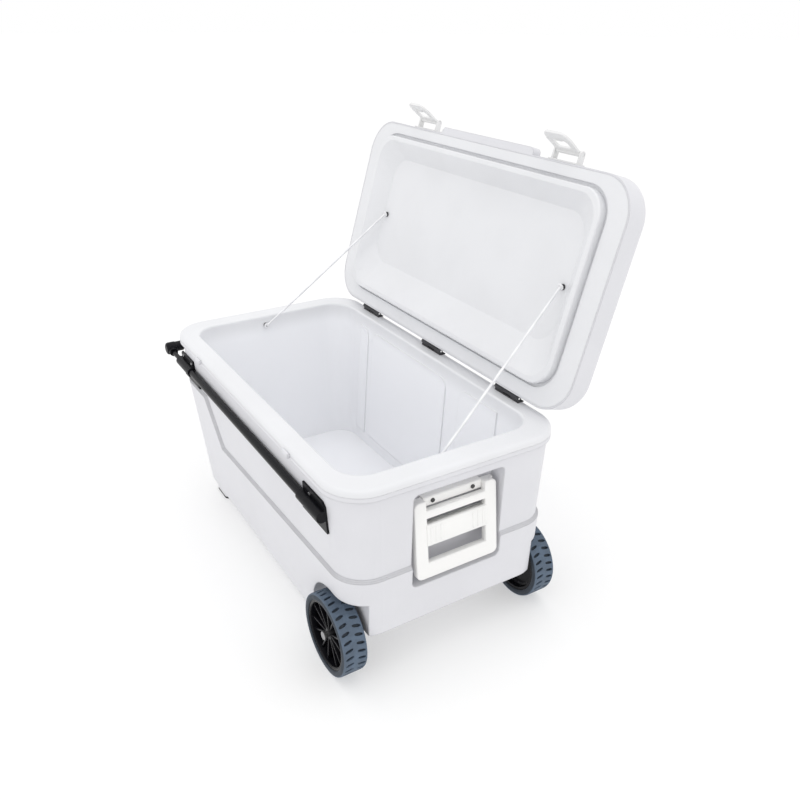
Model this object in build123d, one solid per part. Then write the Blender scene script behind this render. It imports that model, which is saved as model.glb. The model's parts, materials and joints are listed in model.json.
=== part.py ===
"""Large rolling cooler, modelled with its lid standing open.

Frame: X runs along the length with the wheel end at +X, the latch side faces -Y,
the lid hinges are at +Y, and Z is up from the ground, all in millimetres.
Pieces of the lid are drawn with the lid shut, then turned about the hinge line.
"""
from build123d import *
import os
from math import atan2, cos, degrees, radians, sin

# --- Driving dimensions -------------------------------------------------------
# Outer body
RIM_LENGTH = 900.0
RIM_WIDTH = 490.0
RIM_TOP = 427.0
RIM_BAND = 22.0             # upright band just under the rim
RIM_CORNER = 80.0
RIM_ROUND = 9.0             # rounding of the rim's outer edge
BELLY = 45.0                # underside above the ground
FAR_TAPER = 72.0            # how far each face leans in, from the band to the belly
WHEEL_TAPER = 10.0
SIDE_TAPER = 27.0
CORNER_TAPER = 22.0
SHELL_WALL = 3.5
PANEL_DEPTH = 6.0           # the upper panel is set in by this much
LEDGE_WHEEL_END = 238.0     # height of the panel's lower ledge
LEDGE_LOW = 206.0
LEDGE_FAR_END = 315.0
LEDGE_LOW_IN = 265.0        # ledge's low point, in from the far end of the rim
LEDGE_RISE_IN = 195.0
LEDGE_STEPS = 3             # the ledge slopes in by small steps
LEDGE_STEP_RISE = 3.0
# Liner and cavity
LINER_WALL = 3.0
RIM_END_WIDTH = 52.0        # rim between the mouth and the outside, at the ends
RIM_SIDE_WIDTH = 41.0
MOUTH_CORNER = 56.0
MOUTH_ROUND = 4.5
CAVITY_FLOOR = 76.0
CAVITY_FAR_TAPER = 55.0
CAVITY_WHEEL_TAPER = 8.0
CAVITY_SIDE_TAPER = 22.0
WALL_PANEL_DEPTH = 2.5      # raised panels inside the back wall
WALL_PANEL_TOP = 398.0
WALL_PANEL_CORNER = 24.0
WALL_PANEL_SPANS = ((-600.0, -245.0), (-224.0, 103.0), (155.0, 600.0))
FOAM_MIN = 18.0             # least insulation beside the wheel wells
# Wheels and axle
WHEEL_RADIUS = 82.0
WHEEL_WIDTH = 50.0
WHEEL_IN = 22.0             # wheel's middle plane in from the rim
AXLE_IN = 81.0              # axle in from the wheel end of the rim
AXLE_RADIUS = 6.0
TYRE_DEPTH = 13.0
HUB_BOSS_RADIUS = 17.0
HUB_RIM_WALL = 6.0
ARCH_GAP = 14.0
ARCH_SIDE_GAP = 10.0
BAY_TOP = 105.0             # underside over the axle
SADDLE_LENGTH = 34.0
SADDLE_WIDTH = 44.0
# Feet
FOOT_IN = 33.0              # foot in from the far end of the belly
FOOT_SIDE_IN = 14.0
FOOT_LENGTH = 65.0
FOOT_WIDTH = 96.0
PAD_THICKNESS = 5.0
# Pull handle
TUBE_RADIUS = 8.5
TUBE_WALL = 1.3
TUBE_Z = 355.0
TUBE_STANDOFF = 0.5
TUBE_FAR_IN = 54.0          # tube's ends in from the ends of the rim
TUBE_WHEEL_IN = 84.0
ROD_RADIUS = 5.5
ROD_LENGTH = 640.0
SLIDER_LENGTH = 40.0
GRIP_OUT = 27.0             # crossbar out from the far end of the rim
GRIP_RADIUS = 14.0
GRIP_LENGTH = 190.0
CROSSBAR_RADIUS = 10.0
CROSSBAR_RISE = 5.0         # crossbar above the tubes
CORNER_RADIUS = 15.5
CORNER_ARM = 12.5
BRACKET_PLATE = 4.0
BRACKET_BARREL = 11.5
BRACKET_LENGTH = 105.0
BRACKET_HEIGHT = 65.0
BRACKET_LOW = 38.5          # plate's lower edge below the tube
BRACKET_WING = 19.0         # foot of the plate beyond its upright edge
BRACKET_NOTCH = 16.0
BRACKET_WHEEL_IN = 177.0    # brackets' wing ends in from the ends of the rim
BRACKET_FAR_IN = 157.0
RIVET_RADIUS = 3.5
RIVET_SHANK = 1.7
RIVET_HEAD = 2.0
RIVETS_WHEEL = ((49.0, 55.0), (9.0, 8.0))
RIVETS_FAR = ((27.0, 57.0), (86.0, 57.0), (97.0, 12.0))
# Lift handle at the wheel end
RECESS_WIDTH = 200.0
RECESS_BOTTOM = 184.0
RECESS_TOP = 386.0
RECESS_DEPTH = 38.0
BAIL_WIDTH = 182.0
BAIL_DROP = 152.5           # bail's lower edge below the pivots
BAIL_EAR = 6.5              # bail above the pivots
BAIL_THICK = 15.0
BAIL_SIDE = 26.0
BAIL_FOOT = 31.5
BAIL_STAND = 4.0            # bail's back in front of the pivots
BAIL_LEAN = 6.5             # degrees that the hanging bail leans out
BLOCK_WIDTH = 129.0
BLOCK_HEIGHT = 20.0
BLOCK_THICK = 14.0
BLOCK_SCREW_Y = 44.5
PIVOT_Z = 348.0
PIVOT_RADIUS = 3.0
GRIP_BAR_DROP = 63.5        # grip bar's middle below the pivots
GRIP_BAR_HEIGHT = 44.0
GRIP_SLOT = 12.0
# Lid
LID_GAP = 2.0
LID_HEIGHT = 55.0
LID_SHORT = 4.0             # lid shorter than the rim
LID_CORNER = 78.0
LID_BACK_SET = 21.0         # lid's edges in from the body's faces
LID_FRONT_SET = 16.0
LID_TOP_ROUND = 19.0
LID_WALL = 3.5
LID_FLANGE = 3.0
LIP_LENGTH = 320.0
LIP_REACH = 14.0
LIP_HEIGHT = 20.0
PLUG_HEIGHT = 13.0
PLUG_GAP = 6.5
PLUG_BACK_GAP = 20.0
PLUG_RIDGE = 11.0
GROOVE_WIDTH = 7.0
GROOVE_DEPTH = 6.0
DISH_DEPTH = 31.0
DISH_END_SLOPE = 37.0
DISH_FRONT_SLOPE = 37.0
DISH_BACK_SLOPE = 66.0
LID_OPEN_ANGLE = 106.0
# Lid hinges
HINGE_SPACING = 280.0
HINGE_LENGTH = 76.0
HINGE_LEAF = 2.2
LEAF_DEPTH = 15.0
LEAF_HEIGHT = 19.0
LEAF_SCREW_X = 26.0
LEAF_SCREW_Y = 8.5          # vertical screws behind the hinge line
KNUCKLE_RADIUS = 4.5
HINGE_PIN_RADIUS = 2.2
HINGE_RISE = 9.5            # hinge line above the rim
HINGE_IN = 15.0             # hinge line in from the body's back face
KNUCKLE_GAP = 0.5
# Latches
LATCH_X = 240.0
LATCH_WIDTH = 66.0
LATCH_LENGTH = 60.0
LATCH_PLATE = 5.0
LATCH_EAR = 5.0
LATCH_PIVOT_RISE = 19.0     # latch pivot above the rim
LATCH_PIVOT_OUT = 5.0       # latch pivot in front of the body's front face
LATCH_PIVOT_RADIUS = 3.5
LATCH_REST_ANGLE = 25.0     # how far the loose latch leans out from the shut position
KEEPER_WIDTH = 26.0
KEEPER_DEPTH = 6.0
# Stays
STAY_RADIUS = 2.5
STAY_TUB_Y = -18.0
STAY_TUB_Z = 404.0
STAY_LID_IN = 120.0         # lid screws in from the ends of the rim
STAY_LID_Y = -8.0
# Drain
DRAIN_Z = 96.0
DRAIN_RECESS_RADIUS = 32.0
DRAIN_FACE_DEPTH = 24.0
DRAIN_BORE = 9.0
DRAIN_NECK = 13.0
DRAIN_CAP_RADIUS = 19.0
DRAIN_CAP_LENGTH = 14.0
# Clearances
FIT = 0.05                  # fixed fits
RUN = 0.10                  # running fits
SEAT = 0.3                  # between curved or loose neighbours
SCREW_RADIUS = 2.0
SCREW_HEAD = 4.2
LEAF_SCREW_HEAD = 3.0

# --- Worked-out places --------------------------------------------------------
BAND_LOW = RIM_TOP - RIM_BAND
CAP_LOW = RIM_TOP - RIM_ROUND - 3
LEDGE_LOW_X = -RIM_LENGTH / 2 + LEDGE_LOW_IN
LEDGE_RISE_X = -RIM_LENGTH / 2 + LEDGE_RISE_IN
MOUTH_LENGTH = RIM_LENGTH - 2 * RIM_END_WIDTH
MOUTH_WIDTH = RIM_WIDTH - 2 * RIM_SIDE_WIDTH
WHEEL_TRACK = RIM_WIDTH - 2 * WHEEL_IN
AXLE_X = RIM_LENGTH / 2 - AXLE_IN
AXLE_Z = WHEEL_RADIUS
WELL_Y = WHEEL_TRACK / 2 - WHEEL_WIDTH / 2 - ARCH_SIDE_GAP
TUBE_FAR_X = -RIM_LENGTH / 2 + TUBE_FAR_IN
TUBE_WHEEL_X = RIM_LENGTH / 2 - TUBE_WHEEL_IN
GRIP_X = -RIM_LENGTH / 2 - GRIP_OUT
CROSSBAR_Z = TUBE_Z + CROSSBAR_RISE
BRACKET_LOW_Z = TUBE_Z - BRACKET_LOW
BRACKET_TOP_Z = BRACKET_LOW_Z + BRACKET_HEIGHT
HINGE_Y = RIM_WIDTH / 2 - HINGE_IN
HINGE_Z = RIM_TOP + HINGE_RISE
LID_LOW = RIM_TOP + LID_GAP
LID_TOP = LID_LOW + LID_HEIGHT
LID_LENGTH = RIM_LENGTH - LID_SHORT
LID_WIDTH = RIM_WIDTH - LID_BACK_SET - LID_FRONT_SET
LID_BACK = RIM_WIDTH / 2 - LID_BACK_SET
LID_FRONT = LID_BACK - LID_WIDTH
LID_Y = (LID_BACK + LID_FRONT) / 2
PLUG_LENGTH = MOUTH_LENGTH - 2 * PLUG_GAP
PLUG_WIDTH = MOUTH_WIDTH - PLUG_GAP - PLUG_BACK_GAP
PLUG_Y = (PLUG_GAP - PLUG_BACK_GAP) / 2
PLUG_LOW = LID_LOW - PLUG_HEIGHT
LEAF_LOW_Z = HINGE_Z + 6
LATCH_Y = -RIM_WIDTH / 2 - LATCH_PIVOT_OUT
LATCH_Z = RIM_TOP + LATCH_PIVOT_RISE
STAY_LID_X = RIM_LENGTH / 2 - STAY_LID_IN
OUT = 60.0                  # how far cutting shapes run past the body
SIDES = {"front": -1, "back": 1}


# --- Small helpers ------------------------------------------------------------
def block(x0, x1, y0, y1, z0, z1):
    """Box from its corner values."""
    size = Box(x1 - x0, y1 - y0, z1 - z0)
    return Pos((x0 + x1) / 2, (y0 + y1) / 2, (z0 + z1) / 2) * size


def bar_x(x0, x1, y, z, radius):
    """Round bar along X."""
    return Pos((x0 + x1) / 2, y, z) * Rot(0, 90, 0) * Cylinder(radius, x1 - x0)


def bar_y(y0, y1, x, z, radius):
    """Round bar along Y."""
    return Pos(x, (y0 + y1) / 2, z) * Rot(90, 0, 0) * Cylinder(radius, y1 - y0)


def bar_between(start, end, radius):
    """Round bar between two points."""
    run = Vector(*end) - Vector(*start)
    return extrude(Plane(origin=start, z_dir=run) * Circle(radius), run.length)


def frustum(low, high):
    """Straight-sided solid between two flat outlines."""
    return loft([low, high])


def opened(piece):
    """Turn a piece drawn on the shut lid to the open position."""
    return piece.rotate(Axis((0, HINGE_Y, HINGE_Z), (1, 0, 0)), -LID_OPEN_ANGLE)


def opened_point(point):
    """Where a point of the shut lid lies once the lid is open."""
    turn = radians(-LID_OPEN_ANGLE)
    y = point[1] - HINGE_Y
    z = point[2] - HINGE_Z
    return (point[0], HINGE_Y + y * cos(turn) - z * sin(turn), HINGE_Z + y * sin(turn) + z * cos(turn))


def side_face(z):
    """Half width of the inset upper panel at a height."""
    return RIM_WIDTH / 2 - SIDE_TAPER * lean(z) - PANEL_DEPTH


def lean(z):
    """Share of the full taper at a height: none at the band, all at the belly."""
    return max(0.0, (BAND_LOW - z) / (BAND_LOW - BELLY))


def tube_y():
    """Distance of the pull handle's tubes from the middle."""
    return side_face(TUBE_Z) + TUBE_STANDOFF + TUBE_RADIUS


# --- Outer body ---------------------------------------------------------------
def footprint(z, inset):
    """Outline of the outer body at a height, moved inwards by inset."""
    share = lean(z)
    x_far = -RIM_LENGTH / 2 + FAR_TAPER * share + inset
    x_wheel = RIM_LENGTH / 2 - WHEEL_TAPER * share - inset
    width = RIM_WIDTH - 2 * SIDE_TAPER * share - 2 * inset
    corner = RIM_CORNER - CORNER_TAPER * share - inset
    return Pos((x_far + x_wheel) / 2, 0, z) * RectangleRounded(x_wheel - x_far, width, corner)


def body_block(z_low, z_high, inset):
    """Leaning body with its upright band, between two heights."""
    leaning = frustum(footprint(z_low, inset), footprint(min(z_high, BAND_LOW), inset))
    if z_high > BAND_LOW:
        leaning += extrude(footprint(BAND_LOW, inset), z_high - BAND_LOW)
    return leaning


def panel_outline(inset, raised):
    """Side view of the inset upper panel, grown by inset, with its ledge raised or lowered."""
    reach = RIM_LENGTH / 2 + OUT
    corners = [
        (-reach, BAND_LOW + inset),
        (-reach, LEDGE_FAR_END - inset + raised),
        (LEDGE_RISE_X - 2 * inset + raised, LEDGE_FAR_END - inset + raised),
        (LEDGE_LOW_X - inset + raised, LEDGE_LOW - inset + raised),
        (reach, LEDGE_WHEEL_END - inset + raised),
        (reach, BAND_LOW + inset),
    ]
    return extrude(Plane.XZ * Polygon(*corners, align=None), RIM_WIDTH, both=True)


def panel_cut(inset):
    """Material taken off the outside to leave the inset upper panel."""
    low = LEDGE_LOW - 20
    high = BAND_LOW + inset
    outer = body_block(low, high, inset - 5)
    cut = None
    for step in range(1, LEDGE_STEPS + 1):
        depth = PANEL_DEPTH * step / LEDGE_STEPS
        raised = LEDGE_STEP_RISE * (step - LEDGE_STEPS)
        layer = (outer - body_block(low, high, inset + depth)) & panel_outline(inset, raised)
        cut = layer if cut is None else cut + layer
    return cut


def undercuts(grow):
    """Wheel wells and axle bay, grown outwards by grow."""
    far = RIM_LENGTH / 2 + OUT
    arch = WHEEL_RADIUS + ARCH_GAP + grow
    cut = block(AXLE_X - arch, far, -RIM_WIDTH, RIM_WIDTH, -OUT, BAY_TOP + grow)
    for side in SIDES.values():
        inner = side * (WELL_Y - grow)
        outer = side * RIM_WIDTH
        y0, y1 = min(inner, outer), max(inner, outer)
        cut += bar_y(y0, y1, AXLE_X, AXLE_Z, arch)
        cut += block(AXLE_X, far, y0, y1, -OUT, AXLE_Z + arch)
    return cut


def recess_floor_x():
    """Flat floor of the lift handle's recess."""
    return RIM_LENGTH / 2 - PANEL_DEPTH - RECESS_DEPTH


def handle_recess(grow):
    """Pocket for the lift handle, grown outwards by grow."""
    half = RECESS_WIDTH / 2 + grow
    pocket = block(
        recess_floor_x() - grow, RIM_LENGTH / 2 + OUT, -half, half, RECESS_BOTTOM - grow, RECESS_TOP + grow
    )
    return fillet(pocket.edges().filter_by(Axis.X), 12)


def drain_face_x():
    """Flat face that the drain spout seats on."""
    return -RIM_LENGTH / 2 + FAR_TAPER * lean(DRAIN_Z) + DRAIN_FACE_DEPTH


def drain_pocket(grow):
    """Round pocket for the drain cap, grown outwards by grow."""
    return bar_x(-RIM_LENGTH / 2 - OUT, drain_face_x() + grow, 0, DRAIN_Z, DRAIN_RECESS_RADIUS + grow)


def rim_block(inset):
    """Upright band under the rim with its rounded top edge."""
    band = extrude(footprint(BAND_LOW, inset), RIM_TOP - BAND_LOW - inset)
    return fillet(band.edges().group_by(Axis.Z)[-1], RIM_ROUND - inset)


def above(z):
    """Everything above a height."""
    reach = RIM_LENGTH + OUT
    return block(-reach, reach, -reach, reach, z, z + reach)


def outer_body(inset):
    """Whole outside of the body, moved inwards by inset, without the feet."""
    solid = body_block(BELLY + inset, BAND_LOW, inset) + rim_block(inset)
    solid -= panel_cut(inset)
    solid -= undercuts(inset)
    solid -= handle_recess(inset)
    solid -= drain_pocket(inset)
    return solid


def foot(side):
    """One moulded foot under the far end."""
    x_far = -RIM_LENGTH / 2 + FAR_TAPER + FOOT_IN
    y_out = RIM_WIDTH / 2 - SIDE_TAPER - FOOT_SIDE_IN
    y0, y1 = sorted((side * y_out, side * (y_out - FOOT_WIDTH)))
    leg = block(x_far, x_far + FOOT_LENGTH, y0, y1, PAD_THICKNESS, BELLY)
    return fillet(leg.edges().filter_by(Axis.Z), 9)


def foot_pad(side):
    """Dark pad under one foot."""
    leg = foot(side).bounding_box()
    pad = block(leg.min.X, leg.max.X, leg.min.Y, leg.max.Y, 0, PAD_THICKNESS)
    return fillet(pad.edges().filter_by(Axis.Z), 9)


def tub_shell():
    """Outer skin with its feet."""
    shell = outer_body(0) - outer_body(SHELL_WALL) - above(CAP_LOW)
    for side in SIDES.values():
        shell += foot(side)
    return shell - drain_hole(DRAIN_NECK + FIT)


# --- Liner and insulation -----------------------------------------------------
def cavity_outline(z, grow):
    """Outline of the inner cavity at a height, moved outwards by grow."""
    share = (RIM_TOP - z) / (RIM_TOP - CAVITY_FLOOR)
    x_far = -MOUTH_LENGTH / 2 + CAVITY_FAR_TAPER * share - grow
    x_wheel = MOUTH_LENGTH / 2 - CAVITY_WHEEL_TAPER * share + grow
    width = MOUTH_WIDTH - 2 * CAVITY_SIDE_TAPER * share + 2 * grow
    return Pos((x_far + x_wheel) / 2, 0, z) * RectangleRounded(x_wheel - x_far, width, MOUTH_CORNER + grow)


def cavity(grow):
    """Inner cavity moved outwards by grow, with its humps over the wheels."""
    room = frustum(cavity_outline(CAVITY_FLOOR - grow, grow), cavity_outline(RIM_TOP, grow))
    room -= undercuts(SHELL_WALL + FOAM_MIN + LINER_WALL - grow)
    return room


def drain_hole(radius):
    """Straight passage from the drain face into the cavity."""
    return bar_x(drain_face_x() - SHELL_WALL, -MOUTH_LENGTH / 2 + 90, 0, DRAIN_Z, radius)


def wall_panels():
    """Raised panels on the inside of the cavity's back wall."""
    skin = cavity(0) - cavity(-WALL_PANEL_DEPTH)
    panels = None
    for x0, x1 in WALL_PANEL_SPANS:
        slab = block(x0, x1, MOUTH_WIDTH / 2 - CAVITY_SIDE_TAPER - 12, MOUTH_WIDTH, -OUT, WALL_PANEL_TOP)
        slab = fillet(slab.edges().filter_by(Axis.Y).group_by(Axis.Z)[-1], WALL_PANEL_CORNER)
        panel = skin & slab
        panels = panel if panels is None else panels + panel
    inner = MOUTH_LENGTH / 2 - MOUTH_CORNER - CAVITY_FAR_TAPER
    return panels & block(-inner, inner, 0, RIM_WIDTH, CAVITY_FLOOR + 30, RIM_TOP)


def mouth_edge(liner):
    """Edges round the cavity's mouth, at the top of the liner."""
    top = liner.edges().filter_by_position(Axis.Z, RIM_TOP - 0.01, RIM_TOP + 0.01)
    half = MOUTH_WIDTH / 2 + 1
    inside = top.filter_by_position(Axis.Y, -half, half)
    return inside.filter_by_position(Axis.X, -MOUTH_LENGTH / 2 - 1, MOUTH_LENGTH / 2 + 1)


def tub_liner():
    """Inner liner with the rolled cap that forms the rim."""
    liner = cavity(LINER_WALL) - above(RIM_TOP)
    liner += (rim_block(0) - rim_block(SHELL_WALL)) & above(CAP_LOW)
    liner -= cavity(0)
    liner = fillet(mouth_edge(liner), MOUTH_ROUND)
    return liner + wall_panels() - drain_hole(DRAIN_NECK + FIT)


def tub_foam():
    """Insulation that fills the space between skin and liner."""
    foam = outer_body(SHELL_WALL) - cavity(LINER_WALL)
    return foam - drain_hole(DRAIN_NECK + FIT)


# --- Drain --------------------------------------------------------------------
def drain_spout():
    """Spout with a flange on the drain face and a bore through the wall."""
    face = drain_face_x()
    inner = -MOUTH_LENGTH / 2 + CAVITY_FAR_TAPER * (RIM_TOP - DRAIN_Z) / (RIM_TOP - CAVITY_FLOOR)
    spout = bar_x(face, inner, 0, DRAIN_Z, DRAIN_NECK)
    spout += bar_x(face - 3, face, 0, DRAIN_Z, DRAIN_CAP_RADIUS)
    spout += bar_x(face - 3 - DRAIN_CAP_LENGTH + 4, face - 3, 0, DRAIN_Z, DRAIN_NECK)
    return spout - bar_x(face - 40, inner + 5, 0, DRAIN_Z, DRAIN_BORE)


def drain_gasket():
    """Soft washer behind the cap."""
    face = drain_face_x() - 3
    ring = bar_x(face - 2.2, face - 0.2, 0, DRAIN_Z, DRAIN_CAP_RADIUS - 1)
    return ring - bar_x(face - 5, face + 5, 0, DRAIN_Z, DRAIN_NECK + SEAT)


def drain_cap():
    """Quarter-turn cap over the spout's neck."""
    face = drain_face_x() - 5.4
    cap = bar_x(face - DRAIN_CAP_LENGTH + 2, face, 0, DRAIN_Z, DRAIN_CAP_RADIUS)
    cap -= bar_x(face - DRAIN_CAP_LENGTH + 5, face + 1, 0, DRAIN_Z, DRAIN_NECK + SEAT)
    for turn in range(0, 360, 30):
        y = DRAIN_CAP_RADIUS * cos(radians(turn))
        z = DRAIN_Z + DRAIN_CAP_RADIUS * sin(radians(turn))
        cap -= bar_x(face - DRAIN_CAP_LENGTH, face + 1, y, z, 1.4)
    return cap


# --- Wheels and axle ----------------------------------------------------------
def wheel_span(side):
    """Inner and outer Y of one wheel, sorted."""
    middle = side * WHEEL_TRACK / 2
    return middle - WHEEL_WIDTH / 2, middle + WHEEL_WIDTH / 2


def tyre(side):
    """Plain tyre ring with bevelled shoulders."""
    y0, y1 = wheel_span(side)
    ring = bar_y(y0, y1, AXLE_X, AXLE_Z, WHEEL_RADIUS)
    ring = chamfer(ring.edges().filter_by(GeomType.CIRCLE), 5)
    return ring - bar_y(y0 - 1, y1 + 1, AXLE_X, AXLE_Z, WHEEL_RADIUS - TYRE_DEPTH)


def hub(side):
    """Hub with a rim, a web and a long boss."""
    y0, y1 = wheel_span(side)
    outer = WHEEL_RADIUS - TYRE_DEPTH - FIT
    body = bar_y(y0 + 2, y1 - 2, AXLE_X, AXLE_Z, outer)
    dish = bar_y(y0, y1, AXLE_X, AXLE_Z, outer - HUB_RIM_WALL)
    web = (y0 + y1) / 2 + side * 6
    body -= dish
    body += bar_y(web - 4, web + 4, AXLE_X, AXLE_Z, outer - HUB_RIM_WALL + 1)
    body += bar_y(y0 + 2, y1 - 2, AXLE_X, AXLE_Z, HUB_BOSS_RADIUS)
    return body - bar_y(y0 - 1, y1 + 1, AXLE_X, AXLE_Z, AXLE_RADIUS + RUN)


def axle():
    """Steel rod under the body."""
    half = WHEEL_TRACK / 2 + WHEEL_WIDTH / 2 + 1
    return bar_y(-half, half, AXLE_X, AXLE_Z, AXLE_RADIUS)


def axle_saddle(side):
    """Block that holds the axle under the body and spaces the wheel off."""
    y_out = WELL_Y - 2
    y0, y1 = sorted((side * y_out, side * (y_out - SADDLE_LENGTH)))
    saddle = block(AXLE_X - SADDLE_WIDTH / 2, AXLE_X + SADDLE_WIDTH / 2, y0, y1, AXLE_Z, BAY_TOP)
    saddle += bar_y(y0, y1, AXLE_X, AXLE_Z, SADDLE_WIDTH / 2 - 6)
    e0, e1 = sorted((side * y_out, side * (WHEEL_TRACK / 2 - WHEEL_WIDTH / 2 + 1.5)))
    saddle += bar_y(e0, e1, AXLE_X, AXLE_Z, AXLE_RADIUS + 5)
    return saddle - bar_y(-RIM_WIDTH, RIM_WIDTH, AXLE_X, AXLE_Z, AXLE_RADIUS + FIT)


def axle_cap(side):
    """Push-on cap that keeps the wheel on the axle."""
    start = side * (WHEEL_TRACK / 2 + WHEEL_WIDTH / 2 - 1.5)
    end = side * (WHEEL_TRACK / 2 + WHEEL_WIDTH / 2 + 3)
    y0, y1 = sorted((start, end))
    cap = bar_y(y0, y1, AXLE_X, AXLE_Z, AXLE_RADIUS + 5)
    half = WHEEL_TRACK / 2 + WHEEL_WIDTH / 2 + 1 + FIT
    return cap - bar_y(-half, half, AXLE_X, AXLE_Z, AXLE_RADIUS + FIT)


# --- Pull handle --------------------------------------------------------------
def handle_tube(side):
    """Fixed outer tube along one side."""
    y = side * tube_y()
    tube = bar_x(TUBE_FAR_X, TUBE_WHEEL_X, y, TUBE_Z, TUBE_RADIUS)
    return tube - bar_x(TUBE_FAR_X - 1, TUBE_WHEEL_X + 1, y, TUBE_Z, TUBE_RADIUS - TUBE_WALL)


def bracket_ends():
    """Wing end of the far and wheel-end brackets, and which way each runs from it."""
    return {"far": (-RIM_LENGTH / 2 + BRACKET_FAR_IN, -1), "wheel": (RIM_LENGTH / 2 - BRACKET_WHEEL_IN, 1)}


def bracket_outline(start, toward):
    """Side view of a bracket's plate with its notched wing."""
    wing, notch = BRACKET_WING, BRACKET_NOTCH
    shape = [(0, 0), (BRACKET_LENGTH, 0), (BRACKET_LENGTH, BRACKET_HEIGHT - 8)]
    shape += [(BRACKET_LENGTH - 8, BRACKET_HEIGHT), (wing, BRACKET_HEIGHT), (wing, notch)]
    shape += [(wing - 6, notch), (wing - 5, notch - 1)]
    places = [(start + toward * along, BRACKET_LOW_Z + up) for along, up in shape]
    return extrude(Plane.XZ * Polygon(*places, align=None), RIM_WIDTH, both=True)


def plate_slab(side, x0, x1):
    """Flat slab against the leaning side panel, as thick as a bracket's plate."""
    z0, z1 = BRACKET_LOW_Z - 5, BRACKET_TOP_Z + 5
    inner = [(side * side_face(z0), z0), (side * side_face(z1), z1)]
    outer = [(y + side * BRACKET_PLATE, z) for y, z in reversed(inner)]
    face = Plane.YZ * Polygon(*inner, *outer, align=None)
    return Pos((x0 + x1) / 2, 0, 0) * extrude(face, (x1 - x0) / 2, both=True)


def bracket(side, name):
    """Plate and barrel that hold one end of a tube to the body."""
    start, toward = bracket_ends()[name]
    x0, x1 = sorted((start, start + toward * BRACKET_LENGTH))
    plate = plate_slab(side, x0, x1) & bracket_outline(start, toward)
    b0, b1 = sorted((start + toward * BRACKET_WING, start + toward * BRACKET_LENGTH))
    y = side * tube_y()
    plate += bar_x(b0, b1, y, TUBE_Z, BRACKET_BARREL)
    plate -= body_block(BRACKET_LOW_Z - 5, BRACKET_TOP_Z + 5, PANEL_DEPTH)
    bore = bar_x(TUBE_FAR_X - 20, TUBE_WHEEL_X, y, TUBE_Z, TUBE_RADIUS + FIT)
    plate -= bore
    y0, y1 = sorted((side * 150, side * RIM_WIDTH))
    for x, z in rivet_places(name):
        plate -= bar_y(y0, y1, x, z, RIVET_SHANK + FIT)
    return plate


def rivet_places(name):
    """X and Z of the rivets of one bracket."""
    start, toward = bracket_ends()[name]
    rivets = RIVETS_FAR if name == "far" else RIVETS_WHEEL
    return [(start + toward * along, BRACKET_LOW_Z + up) for along, up in rivets]


def rivet(x, z, side):
    """Shank through the bracket plate, with a head on its outside."""
    skin = side * (side_face(z) + 1)
    head = side * (side_face(z + RIVET_RADIUS) + BRACKET_PLATE + FIT)
    tip = head + side * RIVET_HEAD
    shank = bar_y(min(skin, head), max(skin, head), x, z, RIVET_SHANK)
    return shank + bar_y(min(head, tip), max(head, tip), x, z, RIVET_RADIUS)


def bracket_rivets():
    """Rivets of all four brackets."""
    rivets = []
    for side in SIDES.values():
        for name in bracket_ends():
            for x, z in rivet_places(name):
                rivets.append(rivet(x, z, side))
    return rivets


def pull_rod(side):
    """Sliding inner rod with the fat slider that stays inside the tube."""
    y = side * tube_y()
    x0 = GRIP_X + CORNER_RADIUS / 2
    rod = bar_x(x0, x0 + ROD_LENGTH, y, TUBE_Z, ROD_RADIUS)
    end = x0 + ROD_LENGTH
    return rod + bar_x(end - SLIDER_LENGTH, end, y, TUBE_Z, TUBE_RADIUS - TUBE_WALL - RUN)


def rod_bush(side):
    """Bush in the mouth of a tube that guides the rod."""
    y = side * tube_y()
    bush = bar_x(TUBE_FAR_X, TUBE_FAR_X + 24, y, TUBE_Z, TUBE_RADIUS - TUBE_WALL - FIT)
    bush += bar_x(TUBE_FAR_X - 3, TUBE_FAR_X, y, TUBE_Z, TUBE_RADIUS)
    return bush - bar_x(TUBE_FAR_X - 5, TUBE_FAR_X + 30, y, TUBE_Z, ROD_RADIUS + RUN)


def pull_corner(side):
    """Rounded elbow between a rod and the crossbar."""
    y = side * tube_y()
    y0, y1 = sorted((y + side * CORNER_RADIUS * 0.8, y - side * CORNER_RADIUS))
    elbow = bar_y(y0, y1, GRIP_X, CROSSBAR_Z - 2, CORNER_RADIUS)
    elbow = fillet(elbow.edges().filter_by(GeomType.CIRCLE), 7)
    elbow += bar_x(GRIP_X, GRIP_X + 1.6 * CORNER_RADIUS, y, TUBE_Z, CORNER_ARM - 2.5)
    y0, y1 = sorted((y, y - side * 1.9 * CORNER_RADIUS))
    elbow += bar_y(y0, y1, GRIP_X, CROSSBAR_Z, CORNER_ARM)
    elbow -= bar_x(GRIP_X + CORNER_RADIUS / 2 - FIT, GRIP_X + 3 * CORNER_RADIUS, y, TUBE_Z, ROD_RADIUS + FIT)
    return elbow - bar_y(-crossbar_half() - FIT, crossbar_half() + FIT, GRIP_X, CROSSBAR_Z, CROSSBAR_RADIUS + FIT)


def crossbar_half():
    """Half length of the crossbar, ending inside the corner fittings."""
    return tube_y() - CORNER_RADIUS


def crossbar():
    """Tube between the two corner fittings."""
    return bar_y(-crossbar_half(), crossbar_half(), GRIP_X, CROSSBAR_Z, CROSSBAR_RADIUS)


def grip_sleeve():
    """Soft sleeve round the middle of the crossbar."""
    sleeve = bar_y(-GRIP_LENGTH / 2, GRIP_LENGTH / 2, GRIP_X, CROSSBAR_Z, GRIP_RADIUS)
    sleeve = fillet(sleeve.edges().filter_by(GeomType.CIRCLE), 2.5)
    return sleeve - bar_y(-GRIP_LENGTH, GRIP_LENGTH, GRIP_X, CROSSBAR_Z, CROSSBAR_RADIUS + FIT)


# --- Lift handle --------------------------------------------------------------
def pivot_x():
    """Pivot line of the lift handle, in the middle of its block."""
    return recess_floor_x() + BLOCK_THICK / 2


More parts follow.
